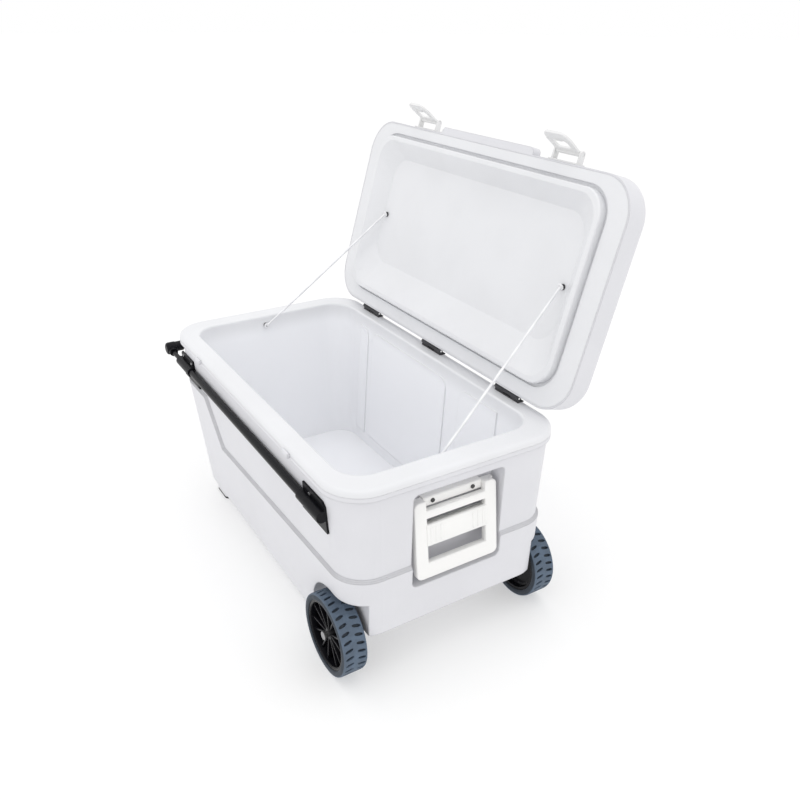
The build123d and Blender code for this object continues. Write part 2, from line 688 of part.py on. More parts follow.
def lift_block():
    """Pivot block screwed to the recess floor."""
    x0 = recess_floor_x()
    half = BLOCK_WIDTH / 2
    low = PIVOT_Z - BLOCK_HEIGHT / 2 - 2
    body = block(x0, x0 + BLOCK_THICK, -half, half, low, low + BLOCK_HEIGHT)
    body = fillet(body.edges().filter_by(Axis.Y).group_by(Axis.X)[-1], 4)
    for y in (-BLOCK_SCREW_Y, BLOCK_SCREW_Y):
        body -= bar_x(x0 - 1, x0 + BLOCK_THICK + 1, y, PIVOT_Z - 1, SCREW_RADIUS + FIT)
    for y0, y1 in pin_spans(RUN):
        body -= bar_y(y0, y1, pivot_x(), PIVOT_Z, PIVOT_RADIUS + FIT)
    return body


def lift_screws():
    """Two dark screws that hold the pivot block."""
    front = recess_floor_x() + BLOCK_THICK
    screws = []
    for y in (-BLOCK_SCREW_Y, BLOCK_SCREW_Y):
        shank = bar_x(recess_floor_x() + 0.5, front, y, PIVOT_Z - 1, SCREW_RADIUS)
        screws.append(shank + bar_x(front, front + 2, y, PIVOT_Z - 1, SCREW_HEAD))
    return screws


def pin_spans(grow):
    """Y values of the two pivot pins, lengthened by grow."""
    inner = BLOCK_SCREW_Y + SCREW_HEAD + 2
    outer = BAIL_WIDTH / 2 - 4
    return (-outer - grow, -inner + grow), (inner - grow, outer + grow)


def lift_pin():
    """Two steel pins, each through one end of the block and one arm of the bail."""
    return [bar_y(y0, y1, pivot_x(), PIVOT_Z, PIVOT_RADIUS) for y0, y1 in pin_spans(0)]


def lift_bail():
    """Swinging frame with a ribbed grip bar across it."""
    x0 = pivot_x() + BAIL_STAND
    x1 = x0 + BAIL_THICK
    half = BAIL_WIDTH / 2
    low = PIVOT_Z - BAIL_DROP
    top = PIVOT_Z + BAIL_EAR
    frame = block(x0, x1, -half, half, low, top)
    frame = fillet(frame.edges().filter_by(Axis.X), 9)
    inner = half - BAIL_SIDE
    bar_low = PIVOT_Z - GRIP_BAR_DROP - GRIP_BAR_HEIGHT / 2
    bar_top = bar_low + GRIP_BAR_HEIGHT
    frame -= block(x0 - 1, x1 + 1, -inner, inner, low + BAIL_FOOT, bar_low)
    frame -= block(x0 - 1, x1 + 1, -inner, inner, bar_top, bar_top + GRIP_SLOT)
    slot = BLOCK_WIDTH / 2 + SEAT
    frame -= block(x0 - 1, x1 + 1, -slot, slot, PIVOT_Z - BLOCK_HEIGHT / 2 - 4, top + 1)
    for y0, y1 in ((-half, -slot), (slot, half)):
        frame += bar_y(y0, y1, pivot_x(), PIVOT_Z, BAIL_EAR)
        frame += block(pivot_x(), x0 + 1, y0, y1, PIVOT_Z - BAIL_EAR, PIVOT_Z + BAIL_EAR)
    for y0, y1 in pin_spans(RUN):
        frame -= bar_y(y0, y1, pivot_x(), PIVOT_Z, PIVOT_RADIUS + RUN)
    return frame.rotate(Axis((pivot_x(), 0, PIVOT_Z), (0, -1, 0)), BAIL_LEAN)


# --- Lid ----------------------------------------------------------------------
def lid_outline(z, inset):
    """Outline of the lid at a height, moved inwards by inset."""
    return Pos(0, LID_Y, z) * RectangleRounded(LID_LENGTH - 2 * inset, LID_WIDTH - 2 * inset, LID_CORNER - inset)


def lid_block(inset):
    """Outside of the lid, moved inwards by inset, with a rounded top edge."""
    solid = extrude(lid_outline(LID_LOW, inset), LID_HEIGHT - inset)
    top = solid.edges().group_by(Axis.Z)[-1]
    return fillet(top, LID_TOP_ROUND - inset)


def lid_shell():
    """Outer skin of the lid with the lifting lip between the latches."""
    shell = lid_block(0) - lid_block(LID_WALL)
    y0 = LID_FRONT - LIP_REACH
    lip = block(-LIP_LENGTH / 2, LIP_LENGTH / 2, y0, LID_FRONT + 2, LID_LOW, LID_LOW + LIP_HEIGHT)
    lip = fillet(lip.edges().filter_by(Axis.Z).group_by(Axis.Y)[0], 11)
    return shell + lip


def dish_outline(z, share, grow):
    """Outline of the dished panel at a height, share of the way up its slopes."""
    front = PLUG_Y - PLUG_WIDTH / 2 + PLUG_RIDGE + DISH_FRONT_SLOPE * share - grow
    back = PLUG_Y + PLUG_WIDTH / 2 - PLUG_RIDGE - DISH_BACK_SLOPE * share + grow
    length = PLUG_LENGTH - 2 * PLUG_RIDGE - 2 * DISH_END_SLOPE * share + 2 * grow
    corner = MOUTH_CORNER - PLUG_GAP - PLUG_RIDGE + 12 + grow
    return Pos(0, (front + back) / 2, z) * RectangleRounded(length, back - front, corner)


def dish(grow):
    """Dished space of the lid liner, moved outwards by grow."""
    low = dish_outline(PLUG_LOW, 0, 2 * grow)
    return frustum(low, dish_outline(PLUG_LOW + DISH_DEPTH + grow, 1, grow))


def plug_block(grow, z0, z1):
    """Slab with the plug's outline, grown sideways by grow."""
    corner = MOUTH_CORNER - PLUG_GAP + 4 + grow
    face = Pos(0, PLUG_Y, z0) * RectangleRounded(PLUG_LENGTH + 2 * grow, PLUG_WIDTH + 2 * grow, corner)
    return extrude(face, z1 - z0)


def plug():
    """Ridge that drops inside the mouth of the body."""
    ridge = plug_block(0, PLUG_LOW, LID_LOW + 1)
    return fillet(ridge.edges().group_by(Axis.Z)[0], 3)


def groove(grow):
    """Groove round the plug, grown outwards by grow."""
    low = LID_LOW - 1 if grow == 0 else LID_LOW + 1
    high = LID_LOW + GROOVE_DEPTH + grow
    return plug_block(GROOVE_WIDTH + grow, low, high) - plug_block(-grow, low - 1, high + 1)


def lid_liner():
    """Inner panel of the lid: flange, plug ridge, groove and dish."""
    inner = extrude(lid_outline(LID_LOW, LID_WALL), LID_FLANGE)
    inner += groove(LINER_WALL)
    inner += plug() + dish(LINER_WALL)
    return inner - groove(0) - dish(0) - dish_mouth()


def dish_mouth():
    """Clears the space just below the dish."""
    return extrude(dish_outline(PLUG_LOW, 0, 0), -10)


def lid_foam():
    """Insulation inside the lid."""
    foam = lid_block(LID_WALL)
    foam -= block(-RIM_LENGTH, RIM_LENGTH, -RIM_WIDTH, RIM_WIDTH, 0, LID_LOW + LID_FLANGE)
    return foam - dish(LINER_WALL) - groove(LINER_WALL)


# --- Lid hinges ---------------------------------------------------------------
def hinge_xs():
    """Middle of each hinge along the body."""
    return {"far": -HINGE_SPACING, "middle": 0.0, "wheel": HINGE_SPACING}


def hinge_leaf_tub(x):
    """Fixed leaf flat on the rim behind the hinge line, with the two outer knuckles."""
    half = HINGE_LENGTH / 2
    third = HINGE_LENGTH / 6
    top = RIM_TOP + HINGE_LEAF
    leaf = block(x - half, x + half, HINGE_Y - 3, HINGE_Y - 3 + LEAF_DEPTH, RIM_TOP, top)
    for x0, x1 in ((x - half, x - third), (x + third, x + half)):
        leaf += block(x0, x1, HINGE_Y - 2, HINGE_Y + 2, RIM_TOP + 1, HINGE_Z)
        leaf += bar_x(x0, x1, HINGE_Y, HINGE_Z, KNUCKLE_RADIUS)
    for sx in (-LEAF_SCREW_X, LEAF_SCREW_X):
        hole = Pos(x + sx, HINGE_Y + LEAF_SCREW_Y, RIM_TOP) * Cylinder(SCREW_RADIUS + FIT, 20)
        leaf -= hole
    return leaf - bar_x(x - 60, x + 60, HINGE_Y, HINGE_Z, HINGE_PIN_RADIUS + FIT)


def hinge_leaf_lid(x):
    """Moving leaf on the lid's back face, with the middle knuckle."""
    half = HINGE_LENGTH / 2
    third = HINGE_LENGTH / 6 - KNUCKLE_GAP
    outer = LID_BACK + HINGE_LEAF
    leaf = block(x - half, x + half, LID_BACK, outer, LEAF_LOW_Z, LEAF_LOW_Z + LEAF_HEIGHT)
    leaf += block(x - third, x + third, LID_BACK, outer, HINGE_Z - 2, HINGE_Z + 8)
    leaf += block(x - third, x + third, LID_BACK, HINGE_Y, HINGE_Z - 2, HINGE_Z + 2)
    leaf += bar_x(x - third, x + third, HINGE_Y, HINGE_Z, KNUCKLE_RADIUS)
    for sx in (-LEAF_SCREW_X, LEAF_SCREW_X):
        leaf -= bar_y(LID_BACK - 5, LID_BACK + 9, x + sx, LEAF_LOW_Z + LEAF_HEIGHT / 2, SCREW_RADIUS + FIT)
    return leaf - bar_x(x - 60, x + 60, HINGE_Y, HINGE_Z, HINGE_PIN_RADIUS + RUN)


def hinge_pin(x):
    """Steel pin through the three knuckles."""
    return bar_x(x - HINGE_LENGTH / 2, x + HINGE_LENGTH / 2, HINGE_Y, HINGE_Z, HINGE_PIN_RADIUS)


def leaf_screw_xs():
    """X of every leaf screw."""
    return [x + sx for x in hinge_xs().values() for sx in (-LEAF_SCREW_X, LEAF_SCREW_X)]


def hinge_screws_tub():
    """Upright screws through the fixed leaves."""
    screws = []
    top = RIM_TOP + HINGE_LEAF
    for x in leaf_screw_xs():
        shank = Pos(x, HINGE_Y + LEAF_SCREW_Y, (RIM_TOP + top) / 2) * Cylinder(SCREW_RADIUS, HINGE_LEAF)
        screws.append(shank + Pos(x, HINGE_Y + LEAF_SCREW_Y, top + 0.8) * Cylinder(LEAF_SCREW_HEAD, 1.6))
    return screws


def hinge_screws_lid():
    """Screws through the moving leaves, on the shut lid."""
    screws = []
    outer = LID_BACK + HINGE_LEAF
    z = LEAF_LOW_Z + LEAF_HEIGHT / 2
    for x in leaf_screw_xs():
        shank = bar_y(LID_BACK, outer, x, z, SCREW_RADIUS)
        screws.append(shank + bar_y(outer, outer + 1.6, x, z, LEAF_SCREW_HEAD))
    return screws


# --- Latches ------------------------------------------------------------------
def latch_mount(x):
    """Mount on the lid's front face, with two ears for the latch."""
    half = LATCH_WIDTH / 2 + SEAT
    outer = half + LATCH_EAR
    z0 = LID_LOW + 3
    mount = block(x - outer, x + outer, LID_FRONT - 3, LID_FRONT, z0, LATCH_Z + 12)
    for side in (-1, 1):
        x0, x1 = sorted((x + side * half, x + side * outer))
        mount += block(x0, x1, LATCH_Y, LID_FRONT, LATCH_Z - 6, LATCH_Z + 6)
        mount += bar_x(x0, x1, LATCH_Y, LATCH_Z, 6)
    return mount - bar_x(x - outer - 5, x + outer + 5, LATCH_Y, LATCH_Z, LATCH_PIVOT_RADIUS + RUN)


def latch_arm(x):
    """Latch with its own pivot stubs, a hand window and a hook."""
    half = LATCH_WIDTH / 2
    z_end = LATCH_Z - LATCH_LENGTH
    y_in = LATCH_Y + LATCH_PLATE / 2
    y_out = LATCH_Y - LATCH_PLATE / 2
    arm = block(x - half, x + half, y_out, y_in, z_end, LATCH_Z)
    arm = chamfer(arm.edges().filter_by(Axis.Y).group_by(Axis.Z)[0], 12)
    arm += bar_x(x - half, x + half, LATCH_Y, LATCH_Z, 5.5)
    arm -= block(x - half + 12, x + half - 12, y_out - 1, y_in + 1, z_end + 22, LATCH_Z - 10)
    hook_y = -RIM_WIDTH / 2 - 1.5
    hook_z = keeper_low() - 1.5
    arm += block(x - KEEPER_WIDTH / 2, x + KEEPER_WIDTH / 2, y_in - 1, hook_y, hook_z - 5, hook_z)
    arm += bar_x(x - half - LATCH_EAR, x + half + LATCH_EAR, LATCH_Y, LATCH_Z, LATCH_PIVOT_RADIUS)
    turn = Axis((0, LATCH_Y, LATCH_Z), (1, 0, 0))
    return arm.rotate(turn, -LATCH_REST_ANGLE)


def keeper_low():
    """Underside of the keepers."""
    return RIM_TOP - 17


def latch_keeper(x):
    """Nib on the body's rim band that the latch hooks under."""
    front = -RIM_WIDTH / 2
    half = KEEPER_WIDTH / 2
    nib = block(x - half, x + half, front - KEEPER_DEPTH, front, keeper_low(), keeper_low() + 9)
    return fillet(nib.edges().filter_by(Axis.X).group_by(Axis.Y)[0], 2)


# --- Stays --------------------------------------------------------------------
def stay_tub_end(side):
    """Where a stay meets the end wall of the cavity."""
    share = (RIM_TOP - STAY_TUB_Z) / (RIM_TOP - CAVITY_FLOOR)
    taper = CAVITY_WHEEL_TAPER if side > 0 else CAVITY_FAR_TAPER
    return (side * (MOUTH_LENGTH / 2 - taper * share), STAY_TUB_Y, STAY_TUB_Z)


def stay_lid_end(side):
    """Where a stay meets the dished panel, on the shut lid."""
    return (side * STAY_LID_X, STAY_LID_Y, PLUG_LOW + DISH_DEPTH)


def stay_screw_tub(side):
    """Screw and washer in the cavity's end wall."""
    x, y, z = stay_tub_end(side)
    x0, x1 = sorted((x, x - side * 4))
    return bar_x(x0, x1, y, z, 6) - cavity_skin()


def cavity_skin():
    """Liner wall, used to trim small parts that sit on it."""
    return cavity(LINER_WALL + 5) - cavity(0)


def stay_screw_lid(side):
    """Screw and washer in the dished panel."""
    x, y, z = stay_lid_end(side)
    return opened(Pos(x, y, z - 2) * Cylinder(6, 4))


def stay(side):
    """Taut cord between the two screws."""
    start = Vector(*stay_tub_end(side)) + Vector(-side * 7, 0, 0)
    x, y, z = stay_lid_end(side)
    end = Vector(*opened_point((x, y, z - 7)))
    return bar_between(tuple(start), tuple(end), STAY_RADIUS)


# --- Writing ------------------------------------------------------------------
def write(name, solid):
    """Save one node; a list of equal fasteners is saved as one compound."""
    if isinstance(solid, list):
        solid = Compound(children=solid)
    export_step(solid, "parts/" + name + ".step")


def write_tub():
    write("tub_shell", tub_shell())
    write("tub_foam", tub_foam())
    write("tub_liner", tub_liner())
    for name, side in SIDES.items():
        write("foot_pad_" + name, foot_pad(side))
        write("latch_keeper_" + {"front": "far", "back": "wheel"}[name], latch_keeper(side * LATCH_X))
    write("drain_spout", drain_spout())
    write("drain_gasket", drain_gasket())
    write("drain_cap", drain_cap())


def write_running_gear():
    write("axle", axle())
    for name, side in SIDES.items():
        write("tyre_" + name, tyre(side))
        write("hub_" + name, hub(side))
        write("axle_saddle_" + name, axle_saddle(side))
        write("axle_cap_" + name, axle_cap(side))


def write_pull_handle():
    for name, side in SIDES.items():
        write("handle_tube_" + name, handle_tube(side))
        write("rod_bush_" + name, rod_bush(side))
        write("bracket_far_" + name, bracket(side, "far"))
        write("bracket_wheel_" + name, bracket(side, "wheel"))
        write("pull_rod_" + name, pull_rod(side))
        write("pull_corner_" + name, pull_corner(side))
    write("bracket_rivets", bracket_rivets())
    write("crossbar", crossbar())
    write("grip_sleeve", grip_sleeve())


def write_lift_handle():
    write("lift_block", lift_block())
    write("lift_screws", lift_screws())
    write("lift_pin", lift_pin())
    write("lift_bail", lift_bail())


def write_lid():
    write("lid_shell", opened(lid_shell()))
    write("lid_foam", opened(lid_foam()))
    write("lid_liner", opened(lid_liner()))
    for name, x in hinge_xs().items():
        write("hinge_leaf_tub_" + name, hinge_leaf_tub(x))
        write("hinge_leaf_lid_" + name, opened(hinge_leaf_lid(x)))
        write("hinge_pin_" + name, hinge_pin(x))
    write("hinge_screws_tub", hinge_screws_tub())
    write("hinge_screws_lid", [opened(screw) for screw in hinge_screws_lid()])


def write_latches_and_stays():
    for name, side in {"far": -1, "wheel": 1}.items():
        write("latch_mount_" + name, opened(latch_mount(side * LATCH_X)))
        write("latch_arm_" + name, opened(latch_arm(side * LATCH_X)))
        write("stay_" + name, stay(side))
    write("stay_screws_tub", [stay_screw_tub(-1), stay_screw_tub(1)])
    write("stay_screws_lid", [stay_screw_lid(-1), stay_screw_lid(1)])


def main():
    os.makedirs("parts", exist_ok=True)
    write_tub()
    write_running_gear()
    write_pull_handle()
    write_lift_handle()
    write_lid()
    write_latches_and_stays()


main()
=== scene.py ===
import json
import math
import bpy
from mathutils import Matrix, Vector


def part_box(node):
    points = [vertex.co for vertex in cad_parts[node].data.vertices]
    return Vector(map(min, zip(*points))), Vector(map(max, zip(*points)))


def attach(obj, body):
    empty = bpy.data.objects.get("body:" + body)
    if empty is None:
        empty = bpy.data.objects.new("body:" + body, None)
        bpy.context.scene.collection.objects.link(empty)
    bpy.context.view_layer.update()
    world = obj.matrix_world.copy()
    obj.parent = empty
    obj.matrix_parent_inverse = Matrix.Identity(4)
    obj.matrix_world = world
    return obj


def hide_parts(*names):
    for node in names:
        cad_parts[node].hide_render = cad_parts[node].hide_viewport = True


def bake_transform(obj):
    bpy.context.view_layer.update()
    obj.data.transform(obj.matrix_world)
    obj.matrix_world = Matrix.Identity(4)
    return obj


bl_info = {
    "name": "Rolling Cooler",
    "version": (1, 0, 0),
    "blender": (4, 5, 0),
    "location": "View3D > Sidebar > Cooler",
    "description": "Builds the visible pieces and finishes of a large rolling cooler around its frame",
    "category": "Object",
}

import bmesh
import bpy
from bpy.props import FloatProperty, FloatVectorProperty, IntProperty, PointerProperty
from mathutils import Matrix, Vector

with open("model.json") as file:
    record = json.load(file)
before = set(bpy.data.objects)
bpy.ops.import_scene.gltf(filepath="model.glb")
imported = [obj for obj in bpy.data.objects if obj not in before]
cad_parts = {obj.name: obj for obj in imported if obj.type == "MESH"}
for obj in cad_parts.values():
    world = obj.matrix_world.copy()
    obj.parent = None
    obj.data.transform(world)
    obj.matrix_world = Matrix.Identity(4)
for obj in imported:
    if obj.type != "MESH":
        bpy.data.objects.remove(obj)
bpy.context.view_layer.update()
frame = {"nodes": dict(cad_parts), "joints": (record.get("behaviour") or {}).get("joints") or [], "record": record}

MM = 0.001
FULL_TURN = 2 * math.pi
TOUCH = 1e-5                # places closer than this are one place
X_AXIS = Vector((1, 0, 0))
Y_AXIS = Vector((0, 1, 0))
Z_AXIS = Vector((0, 0, 1))


# --- Places read from the frame -------------------------------------------------
def joint(name):
    """One joint of the frame, by name."""
    return next(entry for entry in frame["joints"] if entry["name"] == name)


def box_of(node):
    """Lowest and highest corner of a frame node."""
    low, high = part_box(node)
    return Vector(low), Vector(high)


def middle_of(node):
    """Middle of a frame node's box."""
    low, high = box_of(node)
    return (low + high) / 2


def sizes():
    """The sizes that a user may change."""
    return bpy.context.scene.cooler_sizes


# --- Shader writing -------------------------------------------------------------
class Signal:
    """A number in a material that Python arithmetic acts on."""

    def __init__(self, finish, socket):
        self.finish = finish
        self.socket = socket

    def joined(self, operation, first, second):
        node = self.finish.node("ShaderNodeMath", {"operation": operation}, {0: first, 1: second})
        return Signal(self.finish, node.outputs[0])

    def __add__(self, other):
        return self.joined("ADD", self, other)

    def __radd__(self, other):
        return self.joined("ADD", other, self)

    def __sub__(self, other):
        return self.joined("SUBTRACT", self, other)

    def __rsub__(self, other):
        return self.joined("SUBTRACT", other, self)

    def __mul__(self, other):
        return self.joined("MULTIPLY", self, other)

    def __rmul__(self, other):
        return self.joined("MULTIPLY", other, self)

    def __truediv__(self, other):
        return self.joined("DIVIDE", self, other)

    def __pow__(self, other):
        return self.joined("POWER", self, other)

    def wave(self):
        """Sine of the number."""
        return self.joined("SINE", self, 0.0)

    def step(self, low, high):
        """0 below low, 1 above high and an easy step between them."""
        values = {"Value": self, "From Min": low, "From Max": high}
        node = self.finish.node("ShaderNodeMapRange", {"interpolation_type": "SMOOTHSTEP"}, values)
        return Signal(self.finish, node.outputs["Result"])


class Finish:
    """A material that is built up node by node."""

    def __init__(self, name):
        self.material = bpy.data.materials.new(name)
        self.material.use_nodes = True
        self.tree = self.material.node_tree
        self.tree.nodes.clear()
        self.shader = self.node("ShaderNodeBsdfPrincipled")
        self.node("ShaderNodeOutputMaterial", {}, {"Surface": self.shader.outputs[0]})
        self.places = self.node("ShaderNodeTexCoord")

    def node(self, kind, settings=None, values=None):
        """Adds a node: its settings first, then the values or links of its sockets."""
        node = self.tree.nodes.new(kind)
        for key, value in (settings or {}).items():
            setattr(node, key, value)
        for key, value in (values or {}).items():
            self.put(key, value, node)
        return node

    def put(self, key, value, node=None):
        """Sets or links one socket, of the shader unless another node is given."""
        socket = (node or self.shader).inputs[key]
        if isinstance(value, Signal):
            self.tree.links.new(value.socket, socket)
        elif isinstance(value, bpy.types.NodeSocket):
            self.tree.links.new(value, socket)
        else:
            socket.default_value = value

    def place(self, scale=(1, 1, 1), turn=(0, 0, 0), shift=(0, 0, 0)):
        """Object coordinates, scaled, turned and shifted."""
        values = {"Vector": self.places.outputs["Object"], "Scale": scale}
        values.update({"Rotation": turn, "Location": shift})
        return self.node("ShaderNodeMapping", {}, values).outputs[0]

    def noise(self, scale, detail=3.0, roughness=0.5, place=None):
        """Cloudy noise, about 0.5 in the middle."""
        values = {"Vector": place or self.places.outputs["Object"], "Scale": scale}
        values.update({"Detail": detail, "Roughness": roughness})
        return Signal(self, self.node("ShaderNodeTexNoise", {}, values).outputs[0])

    def cells(self, scale):
        """Distance to the nearest point of a cell pattern."""
        values = {"Vector": self.places.outputs["Object"], "Scale": scale}
        return Signal(self, self.node("ShaderNodeTexVoronoi", {}, values).outputs["Distance"])

    def axis(self, letter, source="Object"):
        """X, Y or Z of the piece's coordinates."""
        node = self.node("ShaderNodeSeparateXYZ", {}, {0: self.places.outputs[source]})
        return Signal(self, node.outputs[letter])

    def tint(self, share, low, high):
        """Colour that goes from low to high as share goes from 0 to 1."""
        node = self.node("ShaderNodeMix", {"data_type": "RGBA"}, {0: share, 6: low, 7: high})
        return node.outputs[2]

    def relief(self, height, depth, rounding=0.0):
        """Bump of a given depth in metres, over edges that look rounded by rounding."""
        values = {"Height": height, "Distance": depth, "Strength": 1.0}
        if rounding:
            rounded = self.node("ShaderNodeBevel", {"samples": 6}, {"Radius": rounding})
            values["Normal"] = rounded.outputs[0]
        self.put("Normal", self.node("ShaderNodeBump", {}, values).outputs[0])


def rgb(red, green, blue):
    """An opaque colour."""
    return (red, green, blue, 1.0)


def shade_of(colour, share):
    """A colour made darker or lighter."""
    return rgb(*[channel * share for channel in colour[:3]])


FINISHES = {}


def finish_named(name):
    """A finish's material, made the first time it is asked for."""
    if name not in FINISHES:
        FINISHES[name] = FINISH_MAKERS[name](Finish(name))
    return FINISHES[name]


def moulded_white(finish, colour, roughness, grain, depth, rounding):
    """Moulded white plastic: fine grain, faint clouding, light scuffs and rounded edges."""
    clouds = finish.noise(6.0, 4.0)
    fine = finish.noise(grain, 3.0, 0.6)
    swept = finish.place((3.0, 34.0, 34.0), (0.2, 0.35, 0.1))
    scuffs = finish.noise(9.0, 5.0, 0.7, swept).step(0.66, 0.75)
    base = finish.tint(clouds.step(0.35, 0.65), shade_of(colour, 0.97), rgb(*colour[:3]))
    finish.put("Roughness", roughness + (clouds - 0.5) * 0.10 + scuffs * 0.08)
    finish.relief(fine + clouds * 0.5 - scuffs * 0.1, depth, rounding)
    return base


def body_white(finish):
    """Body and lid skin, with a little road dust near the ground."""
    base = moulded_white(finish, sizes().body_colour, 0.42, 900.0, 0.00012, 0.004)
    near_ground = 1.0 - finish.axis("Z").step(0.03, 0.17)
    dust = near_ground * finish.noise(30.0, 5.0, 0.65).step(0.42, 0.80) * 0.12
    finish.put("Base Color", finish.tint(dust, base, rgb(0.46, 0.45, 0.42)))
    return finish.material


def liner_white(finish):
    """Liner of the body and of the lid, with painted light that makes it a little brighter down in the cavity."""
    base = moulded_white(finish, sizes().liner_colour, 0.30, 420.0, 0.00005, 0.003)
    rim = box_of("tub_liner")[1].z
    # painted light: below the rim the liner colour is mixed towards a brighter copy, standing in for light
    # bouncing round the cavity
    deep = 1.0 - finish.axis("Z").step(rim - 0.05, rim - 0.004)
    finish.put("Base Color", finish.tint(deep, base, shade_of(sizes().liner_colour, 1.17)))
    return finish.material


def fitting_white(finish):
    """Latches and drain fittings."""
    finish.put("Base Color", moulded_white(finish, sizes().fitting_colour, 0.34, 1200.0, 0.00005, 0.001))
    return finish.material


def handle_ivory(finish):
    """Lift handle and its block."""
    finish.put("Base Color", moulded_white(finish, sizes().handle_colour, 0.42, 1100.0, 0.00010, 0.001))
    return finish.material


def insulation(finish):
    """Foam between the skins."""
    cells = finish.cells(420.0)
    finish.put("Base Color", finish.tint(cells, rgb(0.80, 0.70, 0.42), rgb(0.90, 0.83, 0.60)))
    finish.put("Roughness", 0.95)
    finish.relief(cells, 0.0006)
    return finish.material


def moulded_black(finish, colour, roughness, grain):
    """Dark moulded plastic with a fine spark grain and dusty patches."""
    fine = finish.noise(grain, 3.0, 0.6)
    dust = finish.noise(28.0, 5.0, 0.6).step(0.48, 0.75)
    finish.put("Base Color", finish.tint(dust * 0.35, rgb(*colour), rgb(0.040, 0.040, 0.044)))
    finish.put("Roughness", roughness + dust * 0.12 + (fine - 0.5) * 0.08)
    finish.put("Specular IOR Level", 0.14)
    finish.relief(fine, 0.00010, 0.001)
    return finish.material


def bracket_black(finish):
    return moulded_black(finish, (0.005, 0.005, 0.007), 0.36, 900.0)


def hub_black(finish):
    return moulded_black(finish, (0.006, 0.006, 0.008), 0.22, 700.0)


def hinge_grey(finish):
    return moulded_black(finish, (0.060, 0.060, 0.064), 0.42, 900.0)


def tube_black(finish):
    """Black coated tube with drawn lines and a few rubbed marks."""
    along = finish.place((2.0, 90.0, 90.0))
    lines = finish.noise(12.0, 4.0, 0.6, along)
    rubbed = finish.noise(34.0, 6.0, 0.7, along).step(0.62, 0.76)
    finish.put("Base Color", finish.tint(rubbed * 0.5, rgb(0.005, 0.005, 0.007), rgb(0.05, 0.05, 0.06)))
    finish.put("Roughness", 0.28 + (lines - 0.5) * 0.16 + rubbed * 0.10)
    finish.put("Specular IOR Level", 0.16)
    finish.relief(lines, 0.00004)
    return finish.material


def rubber_black(finish):
    """Dusty black rubber of the grip and the feet."""
    fine = finish.noise(700.0, 4.0, 0.65)
    dust = finish.noise(45.0, 5.0, 0.6).step(0.40, 0.75)
    finish.put("Base Color", finish.tint(dust * 0.5, rgb(0.012, 0.012, 0.013), rgb(0.05, 0.05, 0.05)))
    finish.put("Roughness", 0.72 + (dust - 0.5) * 0.14)
    finish.relief(fine, 0.0002)
    return finish.material


def tyre_slate(finish):
    """Slate blue tyre: pale on the lugs, with painted shade darkening the slots, and dusty all over."""
    middle = middle_of("axle")
    across = finish.axis("X") - middle.x
    upward = finish.axis("Z") - middle.z
    radius = (across * across + upward * upward) ** 0.5
    _, outer, _ = wheel_facts("front")
    floor = outer - sizes().tread_depth
    # painted shade: below the lugs' faces the slot floors take a much darker copy of the tyre colour
    painted_slot_shade_mask = radius.step(floor + 0.4 * MM, floor + 3.4 * MM)
    dust = finish.noise(38.0, 5.0, 0.65).step(0.38, 0.72)
    colour = sizes().tyre_colour
    face = finish.tint(dust * 0.5, rgb(*colour), shade_of(colour, 1.7))
    finish.put("Base Color", finish.tint(painted_slot_shade_mask, shade_of(colour, 0.34), face))
    finish.put("Roughness", 0.60 + dust * 0.14)
    finish.relief(finish.noise(600.0, 4.0, 0.65) + dust * 0.4, 0.00025)
    return finish.material


def bare_steel(finish, grey, roughness):
    """Uncoated steel with fine uneven marks."""
    fine = finish.noise(160.0, 5.0, 0.7)
    dull = rgb(grey * 0.8, grey * 0.8, grey * 0.8)
    finish.put("Base Color", finish.tint(fine, dull, rgb(grey, grey, grey * 1.02)))
    finish.put("Metallic", 1.0)
    finish.put("Roughness", roughness + (fine - 0.5) * 0.14)
    finish.relief(fine, 0.00004)
    return finish.material


def bright_steel(finish):
    return bare_steel(finish, 0.74, 0.24)


def axle_steel(finish):
    return bare_steel(finish, 0.42, 0.36)


def screw_dark(finish):
    return bare_steel(finish, 0.10, 0.42)


def cord_white(finish):
    """Braided cord, patterned on its own length and girth."""
    girth = finish.axis("X", "UV")
    along = finish.axis("Y", "UV")
    one_way = ((along + girth * 4.0) * FULL_TURN).wave()
    other_way = ((along - girth * 4.0) * FULL_TURN).wave()
    weave = (one_way * other_way + 1.0) * 0.5
    finish.put("Base Color", finish.tint(weave, rgb(0.76, 0.76, 0.78), rgb(0.92, 0.92, 0.93)))
    finish.put("Roughness", 0.72 + (weave - 0.5) * 0.1)
    finish.relief(weave, 0.0003)
    return finish.material


def floor_white(finish):
    """Pale studio floor that glows a little, so its shadows stay faint."""
    clouds = finish.noise(1.2, 3.0)
    finish.put("Base Color", finish.tint(clouds, rgb(0.58, 0.58, 0.58), rgb(0.60, 0.60, 0.60)))
    finish.put("Emission Color", rgb(1, 1, 1))
    finish.put("Emission Strength", 0.40)
    finish.put("Roughness", 0.9 + (clouds - 0.5) * 0.05)
    return finish.material


FINISH_MAKERS = {
    "body_white": body_white,
    "liner_white": liner_white,
    "fitting_white": fitting_white,
    "handle_ivory": handle_ivory,
    "insulation": insulation,
    "bracket_black": bracket_black,
    "hub_black": hub_black,
    "hinge_grey": hinge_grey,
    "tube_black": tube_black,
    "grip_rubber": rubber_black,
    "foot_rubber": rubber_black,
    "tyre_slate": tyre_slate,
    "bright_steel": bright_steel,
    "axle_steel": axle_steel,
    "screw_dark": screw_dark,
    "cord_white": cord_white,
    "floor_white": floor_white,
}


